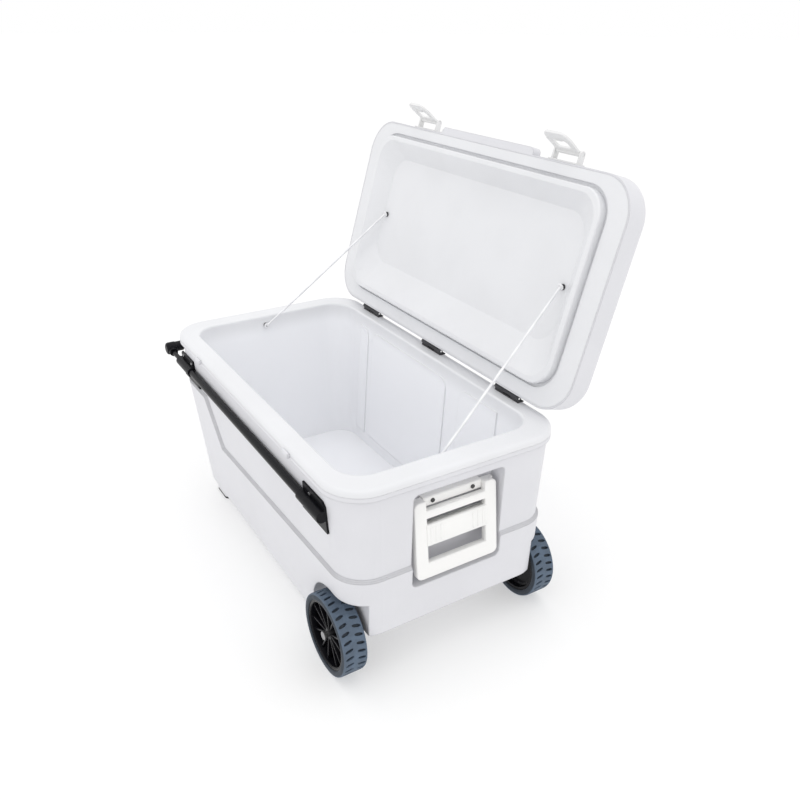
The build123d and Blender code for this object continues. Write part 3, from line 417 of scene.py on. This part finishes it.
# --- Mesh helpers ---------------------------------------------------------------
def finished_piece(name, mesh, finish, body=None, replaced=(), smooth=35):
    """Turns a bmesh into a piece with its finish and its body."""
    bmesh.ops.recalc_face_normals(mesh, faces=mesh.faces)
    data = bpy.data.meshes.new(name)
    mesh.to_mesh(data)
    mesh.free()
    piece = bpy.data.objects.new(name, data)
    bpy.context.scene.collection.objects.link(piece)
    data.materials.append(finish_named(finish))
    data.shade_smooth()
    data.set_sharp_from_angle(angle=math.radians(smooth))
    if body:
        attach(piece, body)
    if replaced:
        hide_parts(*replaced)
    return piece


def edges_of(verts):
    """Edges that join a set of vertices."""
    chosen = set(verts)
    return [edge for edge in {e for v in verts for e in v.link_edges} if set(edge.verts) <= chosen]


def soften(mesh, edges, width, segments=3):
    """Rounds edges with the bevel operator."""
    return bmesh.ops.bevel(
        mesh, geom=edges, offset=width, segments=segments, profile=0.5, affect="EDGES", material=-1
    )


def turned_ring(mesh, profile, centre, steps, axis=Y_AXIS):
    """Turns a closed outline of (along, out) points right round an axis."""
    side = X_AXIS if abs(axis.x) < 0.5 else Z_AXIS
    verts = [mesh.verts.new(centre + axis * along + side * out) for along, out in profile]
    edges = [mesh.edges.new((verts[i - 1], verts[i])) for i in range(len(verts))]
    bmesh.ops.spin(
        mesh, geom=verts + edges, cent=centre, axis=axis, angle=FULL_TURN, steps=steps, use_merge=True
    )


def blade(mesh, start, end, width, depth, across, rounding):
    """Straight rounded bar between two points, with a width and a depth along across."""
    along = (end - start).normalized()
    side = along.cross(across).normalized()
    turn = Matrix((along, side, along.cross(side))).transposed().to_4x4()
    spread = Matrix.Diagonal(((end - start).length, width, depth, 1.0))
    place = Matrix.Translation((start + end) / 2) @ turn @ spread
    made = bmesh.ops.create_cube(mesh, size=1.0, matrix=place)
    soften(mesh, edges_of(made["verts"]), rounding, 2)


def round_bar(mesh, start, end, radius, segments=24):
    """Round bar between two points."""
    run = end - start
    turn = run.to_track_quat("Z", "Y").to_matrix().to_4x4()
    place = Matrix.Translation((start + end) / 2) @ turn
    made = bmesh.ops.create_cone(
        mesh, cap_ends=True, segments=segments, radius1=radius, radius2=radius, depth=run.length, matrix=place
    )
    return made["verts"]


def sharp_edges(edges, angle=30.0):
    """Those of the edges whose two faces meet at more than an angle."""
    limit = math.radians(angle)
    return [edge for edge in edges if len(edge.link_faces) == 2 and edge.calc_face_angle() > limit]


def cut_plate(mesh, across, upward, is_solid, thickness):
    """Plate in X and Z, cut at given lines, left open where it isn't solid, from Y 0 to thickness."""
    place = Matrix.Translation(((across[0] + across[-1]) / 2, 0, (upward[0] + upward[-1]) / 2))
    place = place @ Matrix.Rotation(math.pi / 2, 4, "X")
    place = place @ Matrix.Diagonal((across[-1] - across[0], upward[-1] - upward[0], 1.0, 1.0))
    bmesh.ops.create_grid(mesh, x_segments=1, y_segments=1, size=0.5, matrix=place)
    for lines, normal in ((across, X_AXIS), (upward, Z_AXIS)):
        for line in lines[1:-1]:
            geom = mesh.verts[:] + mesh.edges[:] + mesh.faces[:]
            bmesh.ops.bisect_plane(mesh, geom=geom, dist=1e-6, plane_co=normal * line, plane_no=normal)
    open_faces = [face for face in mesh.faces if not is_solid(face.calc_center_median())]
    bmesh.ops.delete(mesh, geom=open_faces, context="FACES")
    made = bmesh.ops.extrude_face_region(mesh, geom=mesh.faces[:], use_keep_orig=True)
    moved = [item for item in made["geom"] if isinstance(item, bmesh.types.BMVert)]
    bmesh.ops.translate(mesh, verts=moved, vec=Y_AXIS * thickness)
    bmesh.ops.recalc_face_normals(mesh, faces=mesh.faces)


def round_corners(mesh, places, width, segments=5):
    """Rounds the edges that run along Y at given X and Z places."""
    chosen = []
    for edge in mesh.edges:
        first, second = edge.verts[0].co, edge.verts[1].co
        along_y = math.hypot(first.x - second.x, first.z - second.z) < TOUCH
        if along_y and any(math.hypot(first.x - x, first.z - z) < TOUCH for x, z in places):
            chosen.append(edge)
    soften(mesh, chosen, width, segments)


def wheel_facts(name):
    """Middle of a wheel, its radius and its half width."""
    low, high = box_of("tyre_" + name)
    return (low + high) / 2, (high.z - low.z) / 2, (high.y - low.y) / 2


# --- Stage ----------------------------------------------------------------------
def soft_light(name, place, target, width, height, power):
    """Rectangular studio light aimed at a point."""
    data = bpy.data.lights.new(name, "AREA")
    data.shape = "RECTANGLE"
    data.size = width
    data.size_y = height
    data.energy = power
    light = bpy.data.objects.new(name, data)
    light.location = place
    light.rotation_euler = (Vector(target) - Vector(place)).to_track_quat("-Z", "Y").to_euler()
    bpy.context.scene.collection.objects.link(light)


def colour_setting(name, description, colour):
    """Setting for the colour of a finish."""
    return FloatVectorProperty(name=name, description=description, subtype="COLOR", default=colour)


def point_setting(name, description, place):
    """Setting for a point in the frame."""
    return FloatVectorProperty(
        name=name, description=description, subtype="TRANSLATION", default=place
    )


class CoolerSizes(bpy.types.PropertyGroup):
    """Sizes and colours that a user may change."""

    body_colour: colour_setting("Body", "Colour of the body's and lid's skin", (0.725, 0.725, 0.755))
    liner_colour: colour_setting("Liner", "Colour of the two liners", (0.785, 0.79, 0.81))
    fitting_colour: colour_setting("Fittings", "Colour of latches and drain", (0.80, 0.80, 0.80))
    handle_colour: colour_setting("Lift handle", "Colour of the lift handle", (0.92, 0.915, 0.90))
    tyre_colour: colour_setting("Tyres", "Colour of the tyres' lugs", (0.075, 0.106, 0.150))
    tread_slots: IntProperty(
        name="Slots per row", description="Slots in each row of tread", default=32, min=8
    )
    tread_depth: FloatProperty(
        name="Slot depth", description="Depth of the tread's slots", default=0.0045, unit="LENGTH"
    )
    rib_width: FloatProperty(
        name="Centre rib", description="Width of the plain rib round the tyre", default=0.007, unit="LENGTH"
    )
    camera_place: point_setting("Camera", "Where the camera stands", (1.412, -0.729, 1.156))
    camera_aim: point_setting("Aim", "Point that the camera looks at", (-0.030, 0.163, 0.300))
    camera_roll: FloatProperty(
        name="Roll", description="Turn of the camera about its view",
        default=math.radians(0.51), subtype="ANGLE",
    )
    camera_lens: FloatProperty(name="Lens", description="Focal length in millimetres", default=35.89)
    stay_diameter: FloatProperty(
        name="Stay", description="Diameter of the stays", default=0.005, unit="LENGTH"
    )
    spoke_pairs: IntProperty(
        name="Spoke pairs", description="Pairs of spokes in each hub", default=6, min=3
    )
    grip_ribs: IntProperty(
        name="Grip ribs", description="Ribs round the pull handle's grip", default=24, min=4
    )
    light_level: FloatProperty(
        name="Light", description="Strength of all the lights", default=1.0, min=0.0
    )


class COOLER_OT_finishes(bpy.types.Operator):
    """Gives every frame node its finish"""

    bl_idname = "cooler.finishes"
    bl_label = "Finish the frame"

    def execute(self, context):
        slots = {entry["node"]: entry["material_slot"] for entry in frame["record"]["subparts"]}
        for node, piece in frame["nodes"].items():
            piece.data.materials.clear()
            piece.data.materials.append(finish_named(slots[node]))
        return {"FINISHED"}


class COOLER_OT_stage(bpy.types.Operator):
    """Makes the floor, the lights and the camera"""

    bl_idname = "cooler.stage"
    bl_label = "Stage"

    def execute(self, context):
        self.make_floor()
        self.make_lights()
        self.make_camera(context)
        return {"FINISHED"}

    def make_floor(self):
        mesh = bmesh.new()
        bmesh.ops.create_circle(mesh, cap_ends=True, radius=30.0, segments=64)
        floor = finished_piece("floor", mesh, "floor_white")

    def make_lights(self):
        level = sizes().light_level
        world = bpy.data.worlds.new("studio")
        world.use_nodes = True
        background = world.node_tree.nodes["Background"]
        background.inputs["Color"].default_value = rgb(1, 1, 1)
        background.inputs["Strength"].default_value = level
        bpy.context.scene.world = world
        soft_light("top_light", (0.0, 0.0, 3.2), (0, 0, 0), 3.2, 3.2, 18 * level)
        soft_light("front_light", (0.3, -3.4, 1.9), (0, 0, 0.3), 2.4, 1.8, 3.2 * level)
        soft_light("wheel_end_light", (3.4, 0.4, 1.6), (0, 0, 0.3), 2.0, 1.8, 3 * level)
        bpy.context.scene.view_settings.view_transform = "Standard"

    def make_camera(self, context):
        size = sizes()
        data = bpy.data.cameras.new("camera")
        data.sensor_width = 36.0
        data.lens = size.camera_lens
        data.clip_start = 0.01
        data.clip_end = 100.0
        camera = bpy.data.objects.new("camera", data)
        aim = (Vector(size.camera_aim) - Vector(size.camera_place)).to_track_quat("-Z", "Y")
        roll = Matrix.Rotation(size.camera_roll, 4, "Z")
        camera.matrix_world = Matrix.Translation(size.camera_place) @ aim.to_matrix().to_4x4() @ roll
        context.scene.collection.objects.link(camera)
        context.scene.camera = camera


class COOLER_OT_stays(bpy.types.Operator):
    """Makes the two braided stays, with the loops round their screws"""

    bl_idname = "cooler.stays"
    bl_label = "Stays"

    TUB_ENDS = {"far": Vector((-0.3874, -0.018, 0.404)), "wheel": Vector((0.3905, -0.018, 0.404))}
    LID_ENDS = {"far": Vector((-0.330, 0.299, 0.6643)), "wheel": Vector((0.330, 0.299, 0.6643))}
    LOOP_RADIUS = 0.0046        # middle of the cord in the loop round a screw
    SAG = 0.0015
    CURVE_STEPS = 24
    GIRTH_STEPS = 10

    def execute(self, context):
        for name in self.TUB_ENDS:
            self.make_cord(name, context)
        self.make_loops("tub", self.TUB_ENDS, X_AXIS)
        self.make_loops("lid", self.LID_ENDS, self.lid_facing())
        return {"FINISHED"}

    def make_cord(self, name, context):
        start, end = self.TUB_ENDS[name], self.LID_ENDS[name]
        route = [start, (start + end) / 2 - Z_AXIS * self.SAG, end]
        radius = sizes().stay_diameter / 2
        curve = bpy.data.curves.new("stay_route_" + name, "CURVE")
        curve.dimensions = "3D"
        curve.resolution_u = self.CURVE_STEPS
        spline = curve.splines.new("NURBS")
        spline.points.add(len(route) - 1)
        for point, place in zip(spline.points, route):
            point.co = (*place, 1.0)
        spline.order_u = 3
        spline.use_endpoint_u = True
        holder = bpy.data.objects.new("stay_route_" + name, curve)
        line = bpy.data.meshes.new_from_object(holder)
        curve.bevel_depth = radius
        curve.bevel_resolution = 3
        curve.use_fill_caps = True
        data = bpy.data.meshes.new_from_object(holder)
        bpy.data.objects.remove(holder)
        piece = bpy.data.objects.new("braided_stay_" + name, data)
        context.scene.collection.objects.link(piece)
        data.materials.clear()
        data.materials.append(finish_named("cord_white"))
        data.shade_smooth()
        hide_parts("stay_" + name)
        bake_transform(piece)

    def make_loops(self, body, ends, facing):
        """Closed loops of cord round the screws in one body."""
        girth = sizes().stay_diameter / 2
        outline = []
        for step in range(self.GIRTH_STEPS):
            turn = FULL_TURN * step / self.GIRTH_STEPS
            outline.append((girth * math.sin(turn), self.LOOP_RADIUS + girth * math.cos(turn)))
        mesh = bmesh.new()
        for place in ends.values():
            turned_ring(mesh, outline, place, 24, facing)
        finished_piece("stay_loops_" + body, mesh, "cord_white", body)

    def lid_facing(self):
        """Direction that the open lid's dish faces."""
        lid = math.radians(joint("lid_hinge")["range_deg"][1])
        return Vector((0, -math.sin(lid), math.cos(lid)))


class COOLER_OT_tyres(bpy.types.Operator):
    """Makes the two tyres with their staggered leaf-shaped slots"""

    bl_idname = "cooler.tyres"
    bl_label = "Tyres"

    SHOULDER = 0.0042           # tread's edge in from the sidewall
    SIDEWALL = 0.0128           # tyre's depth from tread to bore
    ROW_LINES = (0.04, 0.30, 0.72, 0.98)
    FLANK = ((0.0, 0.0072), (0.0, 0.0105), (0.0012, SIDEWALL))
    STEPS_PER_SLOT = 4          # two of them slot, two of them lug
    PINCH = 0.60                # how far a slot's ends close, in steps
    WAIST = 0.22                # how far a slot's middle closes, in steps
    SLANT = 0.04                # turn of a slot between its ends, in radians
    WALL_SLOPE = 0.0006         # how far a slot's floor is in from its mouth
    SKIN = 0.0005               # what lies less deep than this is tread

    def execute(self, context):
        for name in ("front", "back"):
            self.make_tyre(name)
        return {"FINISHED"}

    def make_tyre(self, name):
        centre, radius, half = wheel_facts(name)
        edge = half - self.SHOULDER
        rib = sizes().rib_width / 2
        row = [rib + (edge - rib) * share for share in self.ROW_LINES]
        flank = [(edge, radius), (edge + 3.0 * MM, radius - 1.0 * MM), (half - 1.0 * MM, radius - 4.0 * MM)]
        flank += [(half - inward, radius - depth) for inward, depth in self.FLANK]
        right = [(along, radius) for along in row] + flank
        left = [(-along, out) for along, out in reversed(right)]
        mesh = bmesh.new()
        steps = sizes().tread_slots * self.STEPS_PER_SLOT
        turned_ring(mesh, left + right, centre, steps)
        bmesh.ops.recalc_face_normals(mesh, faces=mesh.faces)
        self.cut_slots(mesh, centre, radius, row, steps)
        finished_piece("treaded_tyre_" + name, mesh, "tyre_slate", "wheel_" + name, ["tyre_" + name], 32)

    def cut_slots(self, mesh, centre, radius, row, steps):
        """Pinches the tread faces to leaf shapes, slants them and sinks them."""
        pitch = FULL_TURN / steps
        slots = []
        for face in mesh.faces:
            place = face.calc_center_median() - centre
            on_tread = math.hypot(place.x, place.z) > radius - self.SKIN
            if on_tread and row[0] < abs(place.y) < row[-1]:
                step = math.floor(self.angle(place) / pitch) % self.STEPS_PER_SLOT
                first = 0 if place.y > 0 else 2
                if step in (first, first + 1):
                    slots.append(face)
        for vert in mesh.verts:
            self.shape_vert(vert, centre, radius, row, pitch)
        bmesh.ops.inset_region(
            mesh, faces=slots, thickness=self.WALL_SLOPE, depth=-sizes().tread_depth,
            use_boundary=True, use_even_offset=True,
        )

    def angle(self, place):
        """Turn about the axle, the way that the ring was turned."""
        return math.atan2(-place.z, place.x) % FULL_TURN

    def shape_vert(self, vert, centre, radius, row, pitch):
        """Turns one vertex of the tread towards the middle of its slot."""
        place = vert.co - centre
        out, reach = math.hypot(place.x, place.z), abs(place.y)
        if out < radius - self.SKIN or not row[0] - TOUCH < reach < row[-1] + TOUCH:
            return
        step = round(self.angle(place) / pitch) % self.STEPS_PER_SLOT
        middle = 1 if place.y > 0 else 3
        away = (step - middle + 2) % self.STEPS_PER_SLOT - 2
        at_end = min(abs(reach - row[0]), abs(reach - row[-1])) < TOUCH
        shift = self.SLANT * ((reach - row[0]) / (row[-1] - row[0]) - 0.5)
        if abs(away) == 1:
            shift -= away * pitch * (self.PINCH if at_end else self.WAIST)
        vert.co = centre + Matrix.Rotation(shift, 4, "Y") @ place


class COOLER_OT_hubs(bpy.types.Operator):
    """Makes the two deep hubs with paired spokes, and the axle's bright end caps"""

    bl_idname = "cooler.hubs"
    bl_label = "Hubs"

    SPREAD = math.radians(13)   # half the angle between two paired spokes at the rim
    BOSS_SPREAD = 0.16          # and at the boss, in radians
    SPOKE = (0.0036, 0.0100)    # width and depth of a spoke
    TYRE_GAP = 0.0003
    AXLE_GAP = 0.0002
    FACE_IN = 0.0024            # the hub's faces in from the tyre's

    def execute(self, context):
        for name, outward in (("front", -1), ("back", 1)):
            self.make_hub(name, outward)
            self.make_cap(name, outward)
        return {"FINISHED"}

    def make_hub(self, name, outward):
        centre, radius, half = wheel_facts(name)
        axle = (box_of("axle")[1].z - box_of("axle")[0].z) / 2
        rim = radius - COOLER_OT_tyres.SIDEWALL - self.TYRE_GAP
        bore = axle + self.AXLE_GAP
        face = half - self.FACE_IN
        outer_side = [(face, rim), (face, rim - 0.0040), (face - 0.0018, rim - 0.0056)]
        outer_side += [(-0.004, rim - 0.0085), (-0.007, rim - 0.0120), (-0.008, 0.0190)]
        boss = [(-0.006, 0.0160), (0.013, 0.0125), (0.0155, 0.0110), (0.0160, bore), (-face, bore)]
        inner_side = [(-face, 0.0140), (-0.013, 0.0155), (-0.011, 0.0185), (-0.010, rim - 0.0120)]
        inner_side += [(-0.013, rim - 0.0080), (-face, rim - 0.0060), (-face, rim)]
        outline = outer_side + boss + inner_side
        mesh = bmesh.new()
        turned_ring(mesh, outline, centre, 72, Y_AXIS * outward)
        for pair in range(sizes().spoke_pairs):
            for lean in (-1, 1):
                self.add_spoke(mesh, centre, pair, lean, rim, outward)
        finished_piece("spoked_hub_" + name, mesh, "hub_black", "wheel_" + name, ["hub_" + name], 30)

    def add_spoke(self, mesh, centre, pair, lean, rim, outward):
        turn = FULL_TURN * (pair + 0.25) / sizes().spoke_pairs
        near = self.spot(centre, turn + lean * self.BOSS_SPREAD, 0.0105, 0.0100 * outward)
        far = self.spot(centre, turn + lean * self.SPREAD, rim - 0.0060, 0.0130 * outward)
        width, depth = self.SPOKE
        blade(mesh, near, far, width, depth, Y_AXIS, 0.8 * MM)

    def spot(self, centre, turn, out, along):
        """Point in a wheel, from its turn, its distance out and its place along the axle."""
        return centre + Vector((out * math.cos(turn), along, out * math.sin(turn)))

    def make_cap(self, name, outward):
        low, high = box_of("axle_cap_" + name)
        centre = (low + high) / 2
        tall = (high.y - low.y) / 2
        dome = [(tall * 0.2, 0.0086), (tall * 0.6, 0.0076), (tall * 0.86, 0.0052), (tall, 0.0020)]
        inside = [(tall, 0.0004), (tall - 0.0015, 0.0004), (tall - 0.0020, 0.0060)]
        outline = [(-tall, 0.0062), (-tall, 0.0086)] + dome + inside
        mesh = bmesh.new()
        turned_ring(mesh, outline, centre, 32, Y_AXIS * outward)
        finished_piece("domed_axle_cap_" + name, mesh, "axle_steel", "tub", ["axle_cap_" + name], 40)


class COOLER_OT_lift_handle(bpy.types.Operator):
    """Makes the swinging lift handle with its ribbed grip bar"""

    bl_idname = "cooler.lift_handle"
    bl_label = "Lift handle"

    HALF = 0.091                # half width of the frame
    INNER = 0.065               # half width of its windows
    SLOT_HALF = 0.0648          # half width of the gap for the pivot block
    DROP = 0.1525               # frame's bottom below the pivot
    EAR = 0.0065                # radius of the ends on the pin
    FOOT = 0.0315               # height of the bottom bar
    THICK = 0.015
    STAND = 0.004               # frame's back in front of the pivot
    GRIP_DROP = (0.0855, 0.0415)    # grip bar's bottom and top below the pivot
    SLOT_TOP = 0.0295           # top of the slot over the grip bar, below the pivot
    BLOCK_DROP = 0.014          # bottom of the gap for the block, below the pivot
    LEAN = math.radians(6.5)
    RIBS = (0.036, 0.047, 0.058)    # ribs' places out from the middle
    RIB_HALF = 0.017
    RIB_SIZE = (0.0056, 0.0040)

    def execute(self, context):
        mesh = bmesh.new()
        self.add_frame(mesh)
        self.add_grip(mesh)
        self.add_knuckles(mesh)
        pivot = Vector(joint("lift_handle_hinge")["pos_m"])
        place = Matrix.Translation(pivot) @ Matrix.Rotation(-self.LEAN, 4, "Y")
        bmesh.ops.transform(mesh, matrix=place, verts=mesh.verts)
        finished_piece("ribbed_lift_handle", mesh, "handle_ivory", "lift_handle", ["lift_bail"], 40)
        return {"FINISHED"}

    def add_frame(self, mesh):
        """Flat frame with its two windows and the gap for the pivot block."""
        across = [-self.HALF, -self.INNER, self.INNER, self.HALF]
        low, high = self.GRIP_DROP
        upward = [-self.DROP, -self.DROP + self.FOOT, -low, -high, -self.SLOT_TOP, -self.BLOCK_DROP, self.EAR]
        windows = ((upward[1], upward[2]), (upward[3], upward[4]), (upward[5], upward[6]))

        def is_solid(place):
            between = any(bottom < place.z < top for bottom, top in windows)
            return abs(place.x) > self.INNER or not between

        cut_plate(mesh, across, upward, is_solid, self.THICK)
        corners = [(x, z) for x in (-self.HALF, self.HALF) for z in (-self.DROP, self.EAR)]
        round_corners(mesh, corners, 11.0 * MM)
        soften(mesh, sharp_edges(mesh.edges), 2.2 * MM)
        place = Matrix.Translation((self.STAND + self.THICK, 0, 0)) @ Matrix.Rotation(math.pi / 2, 4, "Z")
        bmesh.ops.transform(mesh, matrix=place, verts=mesh.verts)

    def add_grip(self, mesh):
        """Full grip bar with three upright ribs at each end."""
        low, high = self.GRIP_DROP
        middle = -(low + high) / 2
        front = self.STAND + self.THICK
        left = Vector((self.STAND + self.THICK / 2 + 0.001, -self.INNER - 0.003, middle))
        right = Vector((left.x, -left.y, left.z))
        blade(mesh, left, right, low - high, self.THICK + 2.0 * MM, X_AXIS, 3.0 * MM)
        width, depth = self.RIB_SIZE
        for place in self.RIBS:
            for y in (-place, place):
                top = Vector((front + 1.0 * MM, y, middle + self.RIB_HALF))
                bottom = Vector((top.x, y, middle - self.RIB_HALF))
                blade(mesh, bottom, top, width, depth, X_AXIS, 1.6 * MM)

    def add_knuckles(self, mesh):
        """Round ends that turn on the pins."""
        for side in (-1, 1):
            inner = Y_AXIS * side * self.SLOT_HALF
            outer = Y_AXIS * side * (self.HALF - 0.5 * MM)
            bar = round_bar(mesh, inner, outer, self.EAR)
            soften(mesh, sharp_edges(edges_of(bar), 57.3), 0.6 * MM, 2)
            middle = (inner + outer) / 2
            front = middle + X_AXIS * (self.STAND + 4.0 * MM)
            blade(mesh, middle, front, 25.0 * MM, 2 * self.EAR - 1.0 * MM, Z_AXIS, 0.8 * MM)


class COOLER_OT_latches(bpy.types.Operator):
    """Makes the two leaf-shaped latches"""

    bl_idname = "cooler.latches"
    bl_label = "Latches"

    HALF = 0.033                # half width of a latch
    LENGTH = 0.060
    PLATE = 0.005
    SIDE_BAR = 0.013            # solid on each side of the window
    TIP_BAR = 0.022             # solid at the free end
    ROOT_BAR = 0.015            # solid at the pivot
    REST_ANGLE = 25.0

    def execute(self, context):
        for name in ("far", "wheel"):
            self.make_latch(name)
        return {"FINISHED"}

    def make_latch(self, name):
        mesh = bmesh.new()
        half, inner = self.HALF, self.HALF - self.SIDE_BAR
        upward = [-self.LENGTH, -self.LENGTH + self.TIP_BAR, -self.ROOT_BAR, 0.0]

        def is_solid(place):
            return abs(place.x) > inner or not upward[1] < place.z < upward[2]

        cut_plate(mesh, [-half, -inner, inner, half], upward, is_solid, self.PLATE)
        bmesh.ops.translate(mesh, verts=mesh.verts, vec=-Y_AXIS * self.PLATE / 2)
        round_corners(mesh, [(x, -self.LENGTH) for x in (-half, half)], 24.0 * MM, 8)
        round_corners(mesh, [(x, z) for x in (-inner, inner) for z in upward[1:3]], 8.0 * MM)
        soften(mesh, sharp_edges(mesh.edges), 1.2 * MM)
        self.add_pivot_and_hook(mesh)
        lid_turn = joint("lid_hinge")["range_deg"][1]
        turn = Matrix.Rotation(math.radians(-self.REST_ANGLE - lid_turn), 4, "X")
        place = Matrix.Translation(joint("latch_" + name + "_hinge")["pos_m"]) @ turn
        bmesh.ops.transform(mesh, matrix=place, verts=mesh.verts)
        body, replaced = "latch_" + name, ["latch_arm_" + name]
        finished_piece("leaf_latch_" + name, mesh, "fitting_white", body, replaced, 40)

    def add_pivot_and_hook(self, mesh):
        """Pivot bar through the mount's ears, and the hook for the keeper."""
        reach = X_AXIS * (self.HALF + 4.8 * MM)
        round_bar(mesh, -reach, reach, 3.5 * MM, 20)
        bar = round_bar(mesh, -X_AXIS * self.HALF, X_AXIS * self.HALF, 5.4 * MM)
        soften(mesh, sharp_edges(edges_of(bar), 57.3), 0.8 * MM, 2)
        hook = Vector((0, self.PLATE / 2 + 0.2 * MM, -40.0 * MM))
        reach = X_AXIS * 12.0 * MM
        blade(mesh, hook - reach, hook + reach, 4.4 * MM, 2.2 * MM, Y_AXIS, 0.6 * MM)


class COOLER_OT_grip(bpy.types.Operator):
    """Makes the ribbed grip round the pull handle's crossbar"""

    bl_idname = "cooler.grip"
    bl_label = "Grip"

    END = 0.006                 # plain stretch at each end
    GROOVE = 0.0013             # depth of the grooves between ribs

    def execute(self, context):
        low, high = box_of("grip_sleeve")
        centre = (low + high) / 2
        radius = (high.z - low.z) / 2
        bar_low, bar_high = box_of("crossbar")
        bore = (bar_high.z - bar_low.z) / 2 + 0.2 * MM
        half = (high.y - low.y) / 2
        ribs = sizes().grip_ribs
        pitch = 2 * (half - self.END) / ribs
        groove = radius - self.GROOVE
        outline = [(-half, bore), (-half, radius - 2.2 * MM), (-half + 1.5 * MM, radius - 0.4 * MM)]
        for rib in range(ribs):
            start = -half + self.END + rib * pitch
            outline += [(start, groove), (start + pitch * 0.2, groove)]
            outline += [(start + pitch * 0.42, radius), (start + pitch * 0.8, radius)]
        outline += [(half - self.END, groove), (half - 1.5 * MM, radius - 0.4 * MM)]
        outline += [(half, radius - 2.2 * MM), (half, bore)]
        mesh = bmesh.new()
        turned_ring(mesh, outline, centre, 48)
        finished_piece("ribbed_grip", mesh, "grip_rubber", "pull_handle", ["grip_sleeve"], 30)
        return {"FINISHED"}


class COOLER_PT_panel(bpy.types.Panel):
    """Lists the cooler's sizes and the steps that build it"""

    bl_label = "Rolling Cooler"
    bl_idname = "COOLER_PT_panel"
    bl_space_type = "VIEW_3D"
    bl_region_type = "UI"
    bl_category = "Cooler"

    def draw(self, context):
        for name in CoolerSizes.__annotations__:
            self.layout.prop(context.scene.cooler_sizes, name)
        for step in STEPS:
            self.layout.operator(step.bl_idname)


STEPS = (
    COOLER_OT_stage,
    COOLER_OT_stays,
    COOLER_OT_finishes,
    COOLER_OT_tyres,
    COOLER_OT_hubs,
    COOLER_OT_lift_handle,
    COOLER_OT_latches,
    COOLER_OT_grip,
)


def register():
    bpy.utils.register_class(CoolerSizes)
    bpy.types.Scene.cooler_sizes = PointerProperty(type=CoolerSizes)
    for step in STEPS:
        bpy.utils.register_class(step)
    bpy.utils.register_class(COOLER_PT_panel)


def unregister():
    bpy.utils.unregister_class(COOLER_PT_panel)
    for step in reversed(STEPS):
        bpy.utils.unregister_class(step)
    del bpy.types.Scene.cooler_sizes
    bpy.utils.unregister_class(CoolerSizes)


def main():
    register()
    bpy.ops.cooler.stage()
    bpy.ops.cooler.stays()
    bpy.ops.cooler.finishes()
    bpy.ops.cooler.tyres()
    bpy.ops.cooler.hubs()
    bpy.ops.cooler.lift_handle()
    bpy.ops.cooler.latches()
    bpy.ops.cooler.grip()


if __name__ == "__main__":
    main()
